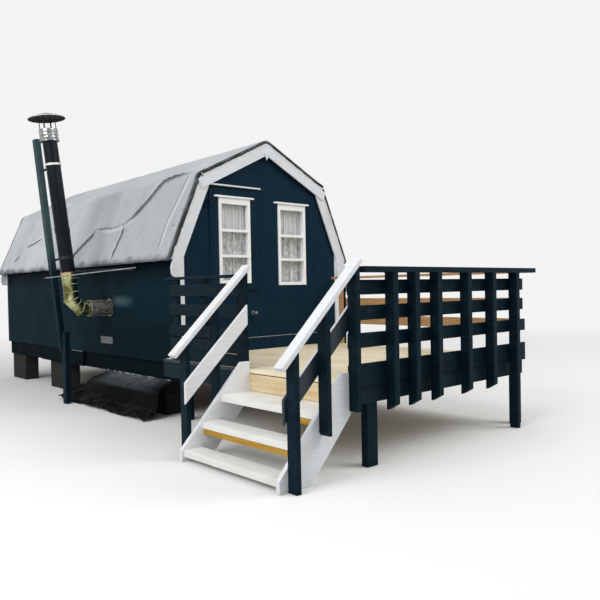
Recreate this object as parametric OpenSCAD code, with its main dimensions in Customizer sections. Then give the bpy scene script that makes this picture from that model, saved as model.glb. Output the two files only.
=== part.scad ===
// Shepherds hut with a gambrel roof, a raised deck, side stairs and a stove flue

/* [Part to show] */
// Sub-part to draw on its own, or all of them

/* [Hut body] */
// Width over the two long walls
hut_w = 2600; // [2300:10:2900]
// Length over the two gable walls
hut_l = 5670; // [5300:10:6000]
// Thickness of the walls
wall_t = 60; // [50:1:75]
// Height of the underside of the walls above the ground
wall_z = 636; // [610:2:660]
// Height of the floor above the ground
floor_z = 875; // [860:5:895]
// Thickness of the floor boards
floor_t = 30; // [24:1:40]
// Width of the floor joists
joist_w = 60; // [47:1:75]

/* [Chassis] */
// Height of the chassis beams
beam_h = 217; // [190:1:230]
// Width of the chassis beams
beam_w = 100; // [80:5:120]
// Set-back of the beams from the long walls
beam_in = 40; // [30:1:50]
// Start of the packing board behind the front gable
pack_y = 2574; // [2400:2:2700]
// Length of the packing board
pack_l = 1547; // [1300:1:1700]
// Start of the front piers behind the front gable
pier_y = 380; // [340:5:420]
// Start of the middle piers behind the front gable
mid_pier_y = 3300; // [3200:10:3400]
// Length of a pier block
pier_l = 600; // [440:5:620]
// Width of a pier block
pier_w = 215; // [180:5:220]

/* [Roof] */
// Height of the hem of the cover at the eaves
eave_z = 1811; // [1790:1:1840]
// Height of the knee between the two slopes above the door head
knee_up = 144; // [126:1:170]
// Rise of the ridge above the knee
ridge_up = 506; // [480:1:540]
// Distance of the knee in from the long wall
knee_in = 304; // [290:1:320]
// Overhang of the eaves beyond the long walls
eave_out = 141; // [125:1:155]
// Thickness of the roof panels
panel_t = 50; // [44:1:56]
// Thickness of the fabric cover
cover_t = 8; // [6:1:10]
// Width of the bargeboards
barge_w = 118; // [105:1:124]
// Thickness of the bargeboards and corner boards
trim_t = 20; // [16:1:24]
// Width of the corner boards
corner_w = 83; // [75:1:95]
// Length of the square tails of the upper bargeboards past the knee
tail_l = 80; // [60:1:90]
// Drop of the pointed pendant below the bargeboard joint
pendant_h = 60; // [45:1:70]

/* [Door] */
// Width of the door leaf
door_w = 700; // [660:5:740]
// Height of the door leaf
door_h = 1805; // [1780:5:1815]
// Thickness of the door leaf
door_t = 44; // [38:1:48]
// Distance of the door leaf from the left corner
door_x = 452; // [446:1:470]
// Gap between the door leaf and its opening
door_gap = 6; // [5:1:8]
// Projection of the door leaf in front of the gable
door_out = 12; // [10:1:16]
// Height of the knob above the foot of the leaf
knob_up = 298; // [280:1:320]
// Height of the hasp above the foot of the leaf
hasp_up = 556; // [540:1:580]
// Height of the foot of the pull handle above the foot of the leaf
pull_up = 950; // [920:1:980]
// Length of the pull handle
pull_l = 126; // [110:1:140]
// Swing of the door, for viewing
door_open = 0; // [0:1:120]

/* [Windows] */
// Width of the window in the door
dwin_w = 466; // [430:2:490]
// Height of the leaf under the window in the door
dwin_foot = 667; // [650:1:690]
// Height of the leaf over the window in the door
dwin_head = 109; // [95:1:125]
// Height of the sill of the gable window above the ground
win_z = 1519; // [1490:1:1550]
// Width of the gable window
win_w = 471; // [430:1:500]
// Height of the gable window
win_h = 1045; // [990:1:1060]
// Distance of the gable window from the left corner
win_x = 1504; // [1470:1:1540]
// Width of the window stiles
stile_w = 38; // [32:1:44]
// Height of the top rail of the window frames
head_h = 75; // [60:1:90]
// Height of the two lower panes
pane_h = 275; // [260:1:290]
// Width of the glazing bars
bar_w = 32; // [26:1:40]
// Thickness of the glass
glass_t = 6; // [4:1:8]
// Thickness of the curtains
curtain_t = 8; // [6:1:10]

/* [Wall vent] */
// Length of the vent
vent_l = 329; // [290:1:350]
// Height of the vent
vent_h = 100; // [90:2:110]
// Start of the vent behind the front gable
vent_y = 1627; // [1560:1:1680]
// Height of the underside of the vent above the ground
vent_z = 782; // [770:1:800]

/* [Deck] */
// Height of the deck above the ground
deck_z = 720; // [710:5:730]
// Depth of the deck in front of the gable
deck_l = 2841; // [2700:1:2900]
// Reach of the deck beyond the left long wall
deck_left = 210; // [190:5:225]
// Width of the deck
deck_w = 2680; // [2660:10:2760]
// Thickness of the deck boards
deck_t = 28; // [24:1:32]
// Depth of the deck rim
rim_h = 165; // [150:5:175]
// Thickness of the deck rim
rim_t = 40; // [35:1:45]
// Side of the square legs across the deck
leg_w = 125; // [100:5:135]

/* [Railing] */
// Height of the top rail above the deck
rail_h = 918; // [900:1:940]
// Thickness of the top rail
rail_t = 48; // [40:1:52]
// Thickness of the railing boards
board_t = 28; // [24:1:32]
// Height of the railing boards
board_h = 120; // [108:1:128]
// Height of the lower railing boards above the deck
board_low = 265; // [245:1:275]
// Height of the middle railing boards above the deck
board_mid = 487; // [470:1:500]
// Height of the upper railing boards above the deck
board_top = 692; // [680:1:710]
// Difference in length between the boards of the front railing
board_cut = 40; // [20:5:60]
// Gap between the boards of the side railings and the gable
side_gap = 170; // [150:5:190]
// Distance of the first fin batten from the left edge of the deck
fin_x = 430; // [410:5:450]
// Distance of the second fin batten from the first
fin_gap = 290; // [280:5:300]
// Distance of the long railing post from the right edge of the deck
end_x = 310; // [290:5:330]
// Width of the battens of the front railing
batten_w = 64; // [50:1:70]
// Width of the fin battens
fin_w = 45; // [40:1:50]
// Depth of the fin battens
fin_d = 95; // [85:1:100]
// Thickness of the long railing post
end_w = 45; // [40:1:60]
// Reach of the top rail past the right edge of the deck
rail_out = 85; // [60:5:120]

/* [Stairs] */
// Width over the two stringers
stair_w = 1330; // [1250:5:1380]
// Run of the stringers in front of the deck edge
stair_run = 750; // [720:5:780]
// Slope of the stringers in degrees
stair_deg = 47; // [46:0.5:48]
// Width of the stringer boards
string_w = 293; // [280:1:300]
// Reach of the stringers above the deck
string_up = 80; // [70:5:90]
// Thickness of the stringers
string_t = 40; // [35:1:45]
// Depth of a tread
tread_d = 185; // [175:5:210]
// Rise from one tread to the next
tread_rise = 213; // [200:1:215]
// Thickness of a tread
tread_t = 58; // [45:1:64]
// Height of the lowest tread above the ground
tread_z = 100; // [90:1:110]
// Distance of the middle stair posts in front of the deck edge
post_in = 350; // [320:5:380]
// Drop of the feet of the middle stair posts below the deck
post_drop = 355; // [335:5:375]
// Slope of the handrails in degrees
hand_deg = 43.5; // [43:0.5:44]
// Horizontal reach of the handrails in front of the deck edge
hand_run = 760; // [740:5:790]
// Width of the handrails
hand_w = 95; // [85:1:100]
// Thickness of the handrails
hand_t = 45; // [40:1:48]

/* [Stove flue] */
// Outside diameter of the flue
flue_d = 178; // [165:1:185]
// Distance of the flue behind the front gable
flue_y = 1700; // [1660:10:1760]
// Height of the flue through the long wall
flue_z = 1265; // [1245:5:1280]
// Distance of the upright flue from the long wall
flue_out = 518; // [505:1:540]
// Lean of the flue towards the rear in degrees
flue_deg = 1.7; // [1:0.1:2.5]
// Lean of the flue and its post away from the wall in degrees
out_deg = 6; // [5:0.5:6.5]
// Length of the black flue pipe
flue_l = 1640; // [1600:5:1700]
// Diameter of the rain cap
cap_d = 446; // [430:2:460]
// Lean of the support post towards the front in degrees
post_deg = 0.6; // [0:0.1:1]
// Width of the support post
prop_w = 100; // [75:1:105]
// Thickness of the support post
prop_t = 68; // [45:1:75]
// Distance of the support post from the flue
post_y = 500; // [470:5:520]
// Length of the upper part of the support post
prop_l = 2790; // [2740:5:2830]
// Reach of its upper part below the head of the elbow
prop_drop = 780; // [760:5:800]
// Height of its lower part
prop_foot = 950; // [930:5:970]
// Height of the lower clamp above the head of the elbow
clamp_z = 430; // [410:5:450]
// Height of the upper clamp above the lower one
clamp_l = 1170; // [1140:5:1200]
// Height of the joint ring of the pipe above the head of the elbow
ring_z = 780; // [750:5:810]

/* [Black sheet] */
// Start of the black sheet behind the front gable
sheet_y = 200; // [160:5:240]
// Length of the black sheet
sheet_l = 2400; // [2350:10:2450]
// Lap of its upper edge over the beam
sheet_lap = 30; // [20:1:40]
// Reach of its shoulder in front of the beam
sheet_out = 210; // [180:5:240]
// Reach of its foot on the ground in front of the beam
sheet_foot = 400; // [360:5:420]
// Drop of its upper edge at the rear below the beam
sheet_sag = 200; // [170:5:220]

/* [Hidden] */
$fn = 48;
eps = 0.01;
fit_gap = 0.2;
joint_gap = 0.4;
hem_out = 4;
bend_r = 205;
neck_l = 262;

// Frame of the assembly, centred on the footprint
cap_s = neck_l + flue_l + 303;
cap_n = cos(flue_deg) * sin(out_deg);
x_cap = -flue_out - cap_s * cap_n - cap_d / 2 * sqrt(1 - cap_n * cap_n);
x_min = min(x_cap, -deck_left - hand_run - hand_t * sin(hand_deg));
x_max = hut_w + eave_out;
y_min = -deck_l - board_t - fin_d;
y_max = hut_l + trim_t * 3 + hem_out;
mid = [(x_min + x_max) / 2, (y_min + y_max) / 2];

// Heights of the door and its opening, and of the roof over it
door_z = floor_z + door_gap;
open_x = door_x - door_gap;
open_w = door_w + 2 * door_gap;
open_z = door_z + door_h + door_gap;
knee_z = open_z + knee_up;
ridge_z = knee_z + ridge_up;

// Roof geometry: points at a depth d below the top of the cover
low_deg = atan2(knee_z - eave_z, knee_in + eave_out);
top_deg = atan2(ridge_z - knee_z, hut_w / 2 - knee_in);
roof_d = cover_t + panel_t;
wall_d = roof_d + fit_gap;
function knee_pt(d) = [
  knee_in + d * (sin(low_deg) + sin(top_deg)) / (1 + cos(low_deg - top_deg)),
  knee_z - d * (cos(low_deg) + cos(top_deg)) / (1 + cos(low_deg - top_deg))
];
function ridge_pt(d) = [hut_w / 2, ridge_z - d / cos(top_deg)];
function low_x(d, z) = -eave_out + d / sin(low_deg) + (z - eave_z) / tan(low_deg);
function low_z(d, x) = eave_z + (x - low_x(d, eave_z)) * tan(low_deg);

// Heights of the chassis and the deck frame
beam_z = wall_z - beam_h;
rim_z = deck_z - deck_t - rim_h;
deck_x0 = -deck_left;
deck_x1 = deck_w - deck_left;
rail_z = deck_z + rail_h - rail_t;
side_t = 30;
board_heights = [board_low, board_mid, board_top];
fin_places = [
  fin_x,
  fin_x + fin_gap,
  fin_x + 2 * fin_gap + 30,
  fin_x + 3 * fin_gap + 205,
  fin_x + 4 * fin_gap + 340
];
side_z = rail_z + rail_t - 20 - side_t;
dwin_x = door_x + (door_w - dwin_w) / 2 + 8;
dwin_z = door_z + dwin_foot;
dwin_h = door_h - dwin_foot - dwin_head;
hinge_x = door_x - 4;
hinge_y = -door_out - 14;
hinge_r = 9;
pin_r = 4;
stair_y = -deck_l - board_t + stair_w;
hand_z = rail_z + rail_t + 30;
post_x = [92 - hand_run, -post_in, -18];

// Stay from the wall under the eaves to the support post
stay_out = 60;
stay_y = 900;
stay_z = eave_z - 75;
stay_x = flue_out + (stay_z - flue_z - bend_r) * tan(out_deg) - prop_t / 2 - 3;
stay_deg = atan2(stay_x - stay_out, flue_y + post_y - stay_y);
stay_l = norm([stay_x - stay_out, flue_y + post_y - stay_y]);

// Stands a drawing made in x and z upright, from y0 over the length l
module upright(y0, l) {
  translate([0, y0 + l, 0])
    rotate([90, 0, 0])
      linear_extrude(height = l)
        children();
}

// Moves a shape from the corner of the gable to the frame of the assembly
module placed() {
  translate([-mid[0], -mid[1], 0])
    children();
}

// Copies a shape to the other side of the hut
module both_sides() {
  children();
  translate([hut_w, 0, 0])
    mirror([1, 0, 0])
      children();
}

// Outline of the gable under the roof panels
module gable_outline() {
  polygon([
    [0, wall_z],
    [0, low_z(wall_d, 0)],
    knee_pt(wall_d),
    ridge_pt(wall_d),
    [hut_w - knee_pt(wall_d)[0], knee_pt(wall_d)[1]],
    [hut_w, low_z(wall_d, 0)],
    [hut_w, wall_z]
  ]);
}

module support_piers() {
  color("#5d605e")
    placed()
      for (y = [pier_y, mid_pier_y, hut_l - 60 - pier_l])
        both_sides()
          translate([beam_in + 12, y, 0])
            cube([pier_w, pier_l, beam_z]);
}

module chassis() {
  cross_l = hut_w - 2 * (beam_in + beam_w + joint_gap);
  color("#1b262c")
    placed() {
      both_sides()
        translate([beam_in, 0, beam_z])
          cube([beam_w, hut_l, beam_h]);
      for (y = [150, hut_l / 2 - 45, hut_l - 240])
        translate([beam_in + beam_w + joint_gap, y, beam_z])
          cube([cross_l, 90, beam_h]);
      translate([0, pack_y, beam_z])
        cube([beam_in - joint_gap, pack_l, beam_h]);
    }
}

module floor_joists() {
  color("#a98b5d")
    placed()
      for (k = [0:7])
        translate([wall_t, wall_t + k * (hut_l - 2 * wall_t - joist_w) / 7, wall_z])
          cube([hut_w - 2 * wall_t, joist_w, floor_z - floor_t - wall_z]);
}

module hut_floor() {
  color("#b79a6c")
    placed() {
      translate([wall_t, wall_t, floor_z - floor_t])
        cube([hut_w - 2 * wall_t, hut_l - 2 * wall_t, floor_t]);
      translate([open_x, 0, floor_z - floor_t])
        cube([open_w, wall_t + eps, floor_t]);
    }
}

module long_wall() {
  upright(wall_t, hut_l - 2 * wall_t)
    polygon([
      [0, wall_z],
      [wall_t, wall_z],
      [wall_t, low_z(wall_d, wall_t)],
      [0, low_z(wall_d, 0)]
    ]);
}

module left_wall() {
  color("#18242a")
    placed()
      difference() {
        long_wall();
        translate([-1, flue_y, flue_z])
          rotate([0, 90, 0])
            cylinder(d = flue_d + 6, h = wall_t + 2);
      }
}

module right_wall() {
  color("#18242a")
    placed()
      translate([hut_w, 0, 0])
        mirror([1, 0, 0])
          long_wall();
}

module rear_wall() {
  color("#18242a")
    placed()
      upright(hut_l - wall_t, wall_t)
        gable_outline();
}

module front_wall_left() {
  color("#152230")
    placed()
      upright(0, wall_t)
        intersection() {
          gable_outline();
          translate([-10, 0])
            square([open_x + 10, ridge_z]);
        }
}

module front_wall_right() {
  color("#152230")
    placed()
      upright(0, wall_t)
        difference() {
          gable_outline();
          translate([-10, 0])
            square([open_x + open_w + 10, ridge_z]);
          translate([win_x, win_z])
            square([win_w, win_h]);
        }
}

module front_wall_head() {
  color("#152230")
    placed()
      upright(0, wall_t)
        intersection() {
          gable_outline();
          translate([open_x, open_z])
            square([open_w, ridge_z - open_z]);
        }
}

module plinth_board() {
  color("#1b2933")
    placed()
      translate([corner_w + 2, -trim_t - 10, deck_z])
        cube([hut_w - 2 * corner_w - 4, trim_t + 10, floor_z - deck_z]);
}

module corner_boards() {
  color("#e6e8ec")
    placed()
      both_sides() {
        upright(-trim_t, trim_t)
          corner_outline();
        upright(hut_l, trim_t)
          corner_outline();
      }
}

module corner_outline() {
  polygon([
    [0, wall_z],
    [corner_w, wall_z],
    [corner_w, low_z(wall_d, corner_w)],
    [0, low_z(wall_d, 0)]
  ]);
}

// Lower bargeboard of one side, with its blunt foot
module lower_barge() {
  b = wall_d + barge_w;
  foot_z = eave_z - 188;
  polygon([
    knee_pt(wall_d),
    [low_x(wall_d, eave_z - 10), eave_z - 10],
    [-eave_out + 40, foot_z + 105],
    [-eave_out + 48, foot_z + 40],
    [-eave_out + 64, foot_z + 12],
    [-eave_out + 92, foot_z],
    [corner_w - 18, foot_z],
    [corner_w - 18, low_z(b, corner_w - 18)],
    knee_pt(b)
  ]);
}

// Upper bargeboard of one side, with its square tail
module upper_barge() {
  a = ridge_pt(wall_d);
  b = ridge_pt(wall_d + barge_w);
  reach = (hut_w / 2 - knee_pt(wall_d)[0]) / cos(top_deg) + tail_l;
  u = [cos(top_deg), sin(top_deg)];
  n = [sin(top_deg), -cos(top_deg)];
  e = a - u * reach;
  polygon([a, e + u * 14, e + n * 14, e + n * barge_w, b]);
}

module pendant() {
  z = ridge_pt(wall_d + barge_w)[1];
  polygon([
    [hut_w / 2, z - pendant_h],
    [hut_w / 2 + 45, z + 30],
    [hut_w / 2, z + 60],
    [hut_w / 2 - 45, z + 30]
  ]);
}

module bargeboards() {
  both_sides()
    upright(-2 * trim_t, trim_t)
      lower_barge();
  both_sides()
    upright(-3 * trim_t, trim_t)
      upper_barge();
}

module bargeboards_front() {
  color("#e6e8ec")
    placed() {
      bargeboards();
      upright(-3 * trim_t - 8, trim_t)
        pendant();
    }
}

module bargeboards_rear() {
  color("#e6e8ec")
    placed()
      translate([0, hut_l, 0])
        mirror([0, 1, 0])
          bargeboards();
}

module roof_lower_panels() {
  d = cover_t + fit_gap;
  color("#6b6f72")
    placed()
      both_sides()
        upright(-2 * trim_t, hut_l + 4 * trim_t)
          polygon([
            [low_x(d, eave_z + 15), eave_z + 15],
            knee_pt(d),
            knee_pt(roof_d),
            [low_x(roof_d, eave_z + 15), eave_z + 15]
          ]);
}

module roof_upper_panels() {
  d = cover_t + fit_gap;
  color("#6b6f72")
    placed()
      both_sides()
        upright(-3 * trim_t, hut_l + 6 * trim_t)
          polygon([
            knee_pt(d),
            ridge_pt(d),
            ridge_pt(roof_d),
            knee_pt(roof_d)
          ]);
}

module roof_cover() {
  color("#b9bbbe")
    placed() {
      upright(-2 * trim_t, hut_l + 4 * trim_t)
        polygon([
          [low_x(0, eave_z), eave_z],
          knee_pt(0),
          ridge_pt(0),
          [hut_w - knee_pt(0)[0], knee_pt(0)[1]],
          [hut_w - low_x(0, eave_z), eave_z],
          [hut_w - low_x(cover_t, eave_z), eave_z],
          [hut_w - knee_pt(cover_t)[0], knee_pt(cover_t)[1]],
          ridge_pt(cover_t),
          knee_pt(cover_t),
          [low_x(cover_t, eave_z), eave_z]
        ]);
      for (y = [-3 * trim_t - hem_out, hut_l + 2 * trim_t - eps])
        upright(y, trim_t + hem_out + eps)
          polygon([
            knee_pt(0),
            ridge_pt(0),
            [hut_w - knee_pt(0)[0], knee_pt(0)[1]],
            [hut_w - knee_pt(cover_t)[0], knee_pt(cover_t)[1]],
            ridge_pt(cover_t),
            knee_pt(cover_t)
          ]);
    }
}

// Turns the door and all on it about the hinge line
module swing() {
  translate([hinge_x, hinge_y, 0])
    rotate([0, 0, -door_open])
      translate([-hinge_x, -hinge_y, 0])
        children();
}

module door_leaf() {
  color("#16242f")
    placed()
      swing()
        difference() {
          translate([door_x, -door_out, door_z])
            cube([door_w, door_t, door_h]);
          translate([dwin_x, -door_out - 1, dwin_z])
            cube([dwin_w, door_t + 2, dwin_h]);
        }
}

// Window frame of three panes, filling an opening from its lower left corner
module three_pane_frame(w, h, d) {
  difference() {
    cube([w, d, h]);
    for (k = [0:2])
      translate([stile_w, -1, stile_w + k * (pane_h + bar_w)])
        cube([w - 2 * stile_w, d + 2, k < 2 ? pane_h : top_pane(h)]);
  }
}

module three_panes(w, h) {
  for (k = [0:2])
    translate([stile_w, 0, stile_w + k * (pane_h + bar_w)])
      cube([w - 2 * stile_w, glass_t, k < 2 ? pane_h : top_pane(h)]);
}

// Height of the top pane of a frame of height h
function top_pane(h) = h - stile_w - head_h - 2 * (pane_h + bar_w);

// Drip board over a window, with pointed ends
module head_drip(w, out) {
  linear_extrude(height = 20)
    polygon([
      [-62, -out / 2],
      [-44, -out],
      [w + 44, -out],
      [w + 62, -out / 2],
      [w + 62, 0],
      [-62, 0]
    ]);
}

module door_window_frame() {
  color("#e9ebee")
    placed()
      swing() {
        translate([dwin_x, -door_out - 14, dwin_z])
          three_pane_frame(dwin_w, dwin_h, door_t + 14);
        translate([dwin_x, -door_out, dwin_z + dwin_h - 2])
          head_drip(dwin_w, 36);
      }
}

module door_window_glass() {
  color("#c9d4d8")
    placed()
      swing()
        translate([dwin_x, 14, dwin_z])
          three_panes(dwin_w, dwin_h);
}

module door_curtain() {
  color("#e4e4e2")
    placed()
      swing()
        translate([dwin_x - 12, door_t - door_out, dwin_z - 12])
          cube([dwin_w + 24, curtain_t, dwin_h + 24]);
}

module door_hinges() {
  color("#22262a")
    placed()
      swing()
        for (z = [door_z + 160, door_z + door_h - 210]) {
          difference() {
            union() {
              translate([hinge_x, hinge_y, z])
                cylinder(r = hinge_r, h = 50);
              translate([hinge_x + 5, -door_out - 5, z])
                cube([85, 5, 50]);
              translate([hinge_x + 5, hinge_y, z])
                cube([hinge_r - 5, 10, 50]);
            }
            translate([hinge_x, hinge_y, z - 1])
              cylinder(r = pin_r + 0.05, h = 52);
          }
        }
}

module hinge_lugs() {
  color("#22262a")
    placed()
      for (z = [door_z + 160, door_z + door_h - 210]) {
        for (dz = [-26, 56]) {
          translate([hinge_x, hinge_y, z + dz])
            cylinder(r = hinge_r, h = 20);
          translate([hinge_x - 60, hinge_y, z + dz])
            cube([60, 6, 20]);
          translate([hinge_x - 60, hinge_y, z + dz])
            cube([30, -hinge_y, 20]);
        }
        translate([hinge_x, hinge_y, z - 10])
          cylinder(r = pin_r, h = 70);
      }
}

module door_furniture() {
  color("#8d8f90")
    placed()
      swing() {
        translate([door_x + door_w - 80, -door_out, door_z + knob_up])
          rotate([90, 0, 0])
            cylinder(d = 52, h = 8);
        translate([door_x + door_w - 80, -door_out - 7, door_z + knob_up])
          rotate([90, 0, 0])
            cylinder(d = 20, h = 34);
        translate([door_x + door_w - 80, -door_out - 55, door_z + knob_up])
          sphere(d = 50);
        translate([door_x + door_w - 150, -door_out - 7, door_z + hasp_up])
          cube([142, 7, 32]);
        translate([door_x + door_w - 92, -door_out - 6, door_z + pull_up - 10])
          cube([28, 6, pull_l + 24]);
        for (z = [pull_up + 10, pull_up + pull_l - 24])
          translate([door_x + door_w - 84, -door_out - 34, door_z + z])
            cube([12, 30, 14]);
        translate([door_x + door_w - 84, -door_out - 44, door_z + pull_up])
          cube([12, 12, pull_l]);
      }
}

module door_drip() {
  color("#e6e8ec")
    placed()
      translate([open_x + 10, -40, open_z + 18])
        cube([open_w + 42, 40, 18]);
}

module window_frame() {
  color("#e9ebee")
    placed() {
      translate([win_x, -15, win_z])
        three_pane_frame(win_w, win_h, wall_t + 15);
      translate([win_x, 0, win_z + win_h - 2])
        head_drip(win_w, 42);
    }
}

module window_glass() {
  color("#c9d4d8")
    placed()
      translate([win_x, 26, win_z])
        three_panes(win_w, win_h);
}

module window_curtain() {
  color("#e4e4e2")
    placed()
      translate([win_x - 30, wall_t, win_z - 20])
        cube([win_w + 60, curtain_t, win_h + 40]);
}

module wall_vent() {
  color("#8a8f91")
    placed()
      translate([-12, vent_y, vent_z]) {
        difference() {
          cube([12, vent_l, vent_h]);
          translate([-1, 12, 10])
            cube([9, vent_l - 24, vent_h - 20]);
        }
        for (k = [0:3])
          translate([2, 11, 16 + k * (vent_h - 30) / 4])
            rotate([0, -35, 0])
              cube([2, vent_l - 22, 12]);
      }
}

module deck_boards() {
  color("#dccba6")
    placed()
      translate([deck_x0, -deck_l, deck_z - deck_t])
        cube([deck_w, deck_l - trim_t, deck_t]);
}

module deck_frame() {
  l = deck_l - trim_t;
  inner_l = l - 2 * (rim_t + joint_gap);
  color("#d2bd92")
    placed()
      translate([deck_x0, -deck_l, rim_z]) {
        for (y = [0, l - rim_t])
          translate([0, y, 0])
            cube([deck_w, rim_t, rim_h]);
        for (k = [0:6])
          translate([k * (deck_w - rim_t) / 6, rim_t + joint_gap, 0])
            cube([rim_t, inner_l, rim_h]);
      }
}

module deck_legs() {
  color("#16212a")
    placed() {
      for (x = [220, deck_w - 30 - leg_w])
        for (y = [-deck_l, -trim_t - 70])
          translate([deck_x0 + x, y, 0])
            cube([leg_w, 70, rim_z]);
      translate([deck_x1 - end_x, -deck_l - board_t - fin_d, 0])
        cube([end_w, fin_d, rail_z]);
    }
}

// Three railing boards along x, the lowest of the length l, the others shorter
module rail_boards(l) {
  for (z = board_heights)
    translate([0, 0, z])
      cube([z > board_low ? l - board_cut : l, board_t, board_h]);
}

// Upright batten in front of the railing boards, its foot cut back
module fin(foot) {
  rotate([90, 0, 90])
    linear_extrude(height = batten_w)
      polygon([
        [0, foot + 55],
        [0, rail_z],
        [fin_d, rail_z],
        [fin_d, foot]
      ]);
}

module railing_front() {
  color("#121e28")
    placed() {
      translate([deck_x0, -deck_l - board_t, deck_z]) {
        rail_boards(deck_w + 20);
        translate([0, 0, -46])
          cube([deck_w + 20, board_t, 184]);
      }
      translate([deck_x0 + 84, -deck_l - board_t - fin_d, rail_z])
        cube([deck_w - 84 + rail_out, fin_d + board_t, rail_t]);
      for (x = fin_places)
        translate([deck_x0 + x, -deck_l - board_t - fin_d, 0])
          fin(445);
    }
}

module side_railing(l, boards) {
  for (z = boards)
    translate([0, -l, z])
      cube([board_t, l - side_gap, board_h]);
  for (y = [-l, -l / 2 - 100, -side_gap - 120])
    translate([board_t, y, 0])
      cube([fin_w, fin_d, side_z - deck_z]);
  translate([0, -l, side_z - deck_z])
    cube([board_t + fin_w, l - trim_t * 3, side_t]);
}

module railing_left() {
  color("#121e28")
    placed()
      translate([deck_x0, 0, deck_z])
        side_railing(-stair_y - fin_d, concat([8, 15 + board_h], board_heights));
}

module railing_right() {
  color("#121e28")
    placed()
      translate([deck_x1, 0, deck_z])
        mirror([1, 0, 0])
          side_railing(deck_l, board_heights);
}

module stringer_outline() {
  t = tan(stair_deg);
  z1 = deck_z + string_up;
  polygon([
    [deck_x0, string_z(deck_x0) - string_w / cos(stair_deg)],
    [deck_x0, z1],
    [deck_x0 - (string_z(deck_x0) - z1) / t, z1],
    [deck_x0 - stair_run, string_z(deck_x0 - stair_run)],
    [deck_x0 - stair_run, 0],
    [deck_x0 - string_z(deck_x0) / t + string_w / sin(stair_deg), 0]
  ]);
}

// Height of the top edge of the stringers
function string_z(x) = deck_z + 182 + (x - deck_x0) * tan(stair_deg);

module stair_stringers() {
  color("#e3e5e8")
    placed()
      for (y = [-deck_l - board_t, stair_y - string_t])
        upright(y, string_t)
          stringer_outline();
}

module stair_treads() {
  color("#dfe1e4")
    placed()
      for (k = [0:2]) {
        z = tread_z + k * tread_rise;
        x = deck_x0 - (string_z(deck_x0) - z) / tan(stair_deg) + 18;
        translate([x, -deck_l - board_t + string_t, z - tread_t])
          cube([k == 2 ? deck_x0 - x : tread_d, stair_w - 2 * string_t, tread_t]);
      }
}

// Sloping bar seen from the side, h above the handrail line, t thick
module slope_bar(h, t, near, run) {
  c = tan(hand_deg);
  b = t / cos(hand_deg);
  polygon([
    [deck_x0 - near, hand_z + h - near * c],
    [deck_x0 - near, hand_z + h - b - near * c],
    [deck_x0 - run, hand_z + h - b - run * c],
    [deck_x0 - run, hand_z + h - run * c]
  ]);
}

// Outline of a handrail with square ends
module rail_outline() {
  n = hand_t * [-sin(hand_deg), cos(hand_deg)];
  a = [deck_x0 + 70, hand_top(deck_x0 + 70)];
  b = [deck_x0 - hand_run, hand_top(deck_x0 - hand_run)];
  polygon([a, a + n, b + n, b]);
}

module handrails() {
  color("#e6e8ec")
    placed() {
      for (y = [-deck_l - board_t - fin_d, stair_y])
        upright(y, hand_w)
          rail_outline();
      for (y = [-deck_l - board_t, stair_y - board_t])
        upright(y, board_t)
          slope_bar(-336, 138, 0, hand_run - 66);
    }
}

module stair_posts() {
  color("#16222c")
    placed()
      for (y = [-deck_l - board_t - fin_d, stair_y])
        for (x = post_x)
          upright(y, fin_d)
            polygon([
              [deck_x0 + x, post_foot(x, y) + (x == post_x[1] ? 22 : 1)],
              [deck_x0 + x + (x == post_x[1] ? 18 : 1), post_foot(x, y)],
              [deck_x0 + x + fin_w, post_foot(x, y)],
              [deck_x0 + x + fin_w, hand_top(deck_x0 + x + fin_w) - fit_gap],
              [deck_x0 + x, hand_top(deck_x0 + x) - fit_gap]
            ]);
}

// Height of the foot of a stair post
function post_foot(x, y) =
  x == post_x[0] ? 0 : x == post_x[1] ? deck_z - post_drop : y < stair_y ? deck_z - 220 : deck_z;

function hand_top(x) = hand_z - hand_t / cos(hand_deg) - (deck_x0 - x) * tan(hand_deg);

// Frame at the head of the elbow, leaning away from the wall
module leaning() {
  translate([-flue_out, flue_y, flue_z + bend_r])
    rotate([0, -out_deg, 0])
      children();
}

// Puts a shape drawn along z onto the line of the flue
module on_flue() {
  leaning()
    rotate([-flue_deg, 0, 0])
      children();
}

// Puts a shape drawn along z onto the line of the support post
module on_post() {
  leaning()
    translate([0, post_y, 0])
      rotate([post_deg, 0, 0])
        children();
}

module tube(d, t, l) {
  difference() {
    cylinder(d = d, h = l);
    translate([0, 0, -1])
      cylinder(d = d - 2 * t, h = l + 2);
  }
}

module flue_elbow() {
  color("#b9b7ae")
    placed() {
      translate([wall_t, flue_y, flue_z])
        rotate([0, -90, 0])
          tube(flue_d, 10, wall_t + flue_out - bend_r);
      translate([0, flue_y, flue_z])
        rotate([0, -90, 0])
          tube(flue_d + 60, 31, 6);
      translate([-150, flue_y, flue_z])
        rotate([0, -90, 0])
          tube(flue_d + 24, 13, 120);
      translate([-flue_out + bend_r, flue_y, flue_z + bend_r])
        rotate([90, 0, 0])
          rotate([0, 0, 180])
            rotate_extrude(angle = 90)
              translate([bend_r, 0])
                difference() {
                  circle(d = flue_d);
                  circle(d = flue_d - 20);
                }
      translate([-flue_out, flue_y, flue_z + bend_r - 20])
        cylinder(d = flue_d + 16, h = 50);
      on_flue()
        translate([0, 0, 10])
          cylinder(d = flue_d - 6, h = neck_l - 10);
    }
}

module flue_pipe() {
  color("#1c1d22")
    placed()
      on_flue() {
        translate([0, 0, neck_l])
          tube(flue_d, 10, flue_l);
        translate([0, 0, ring_z])
          tube(flue_d + 10, 10, 36);
      }
}

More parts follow.
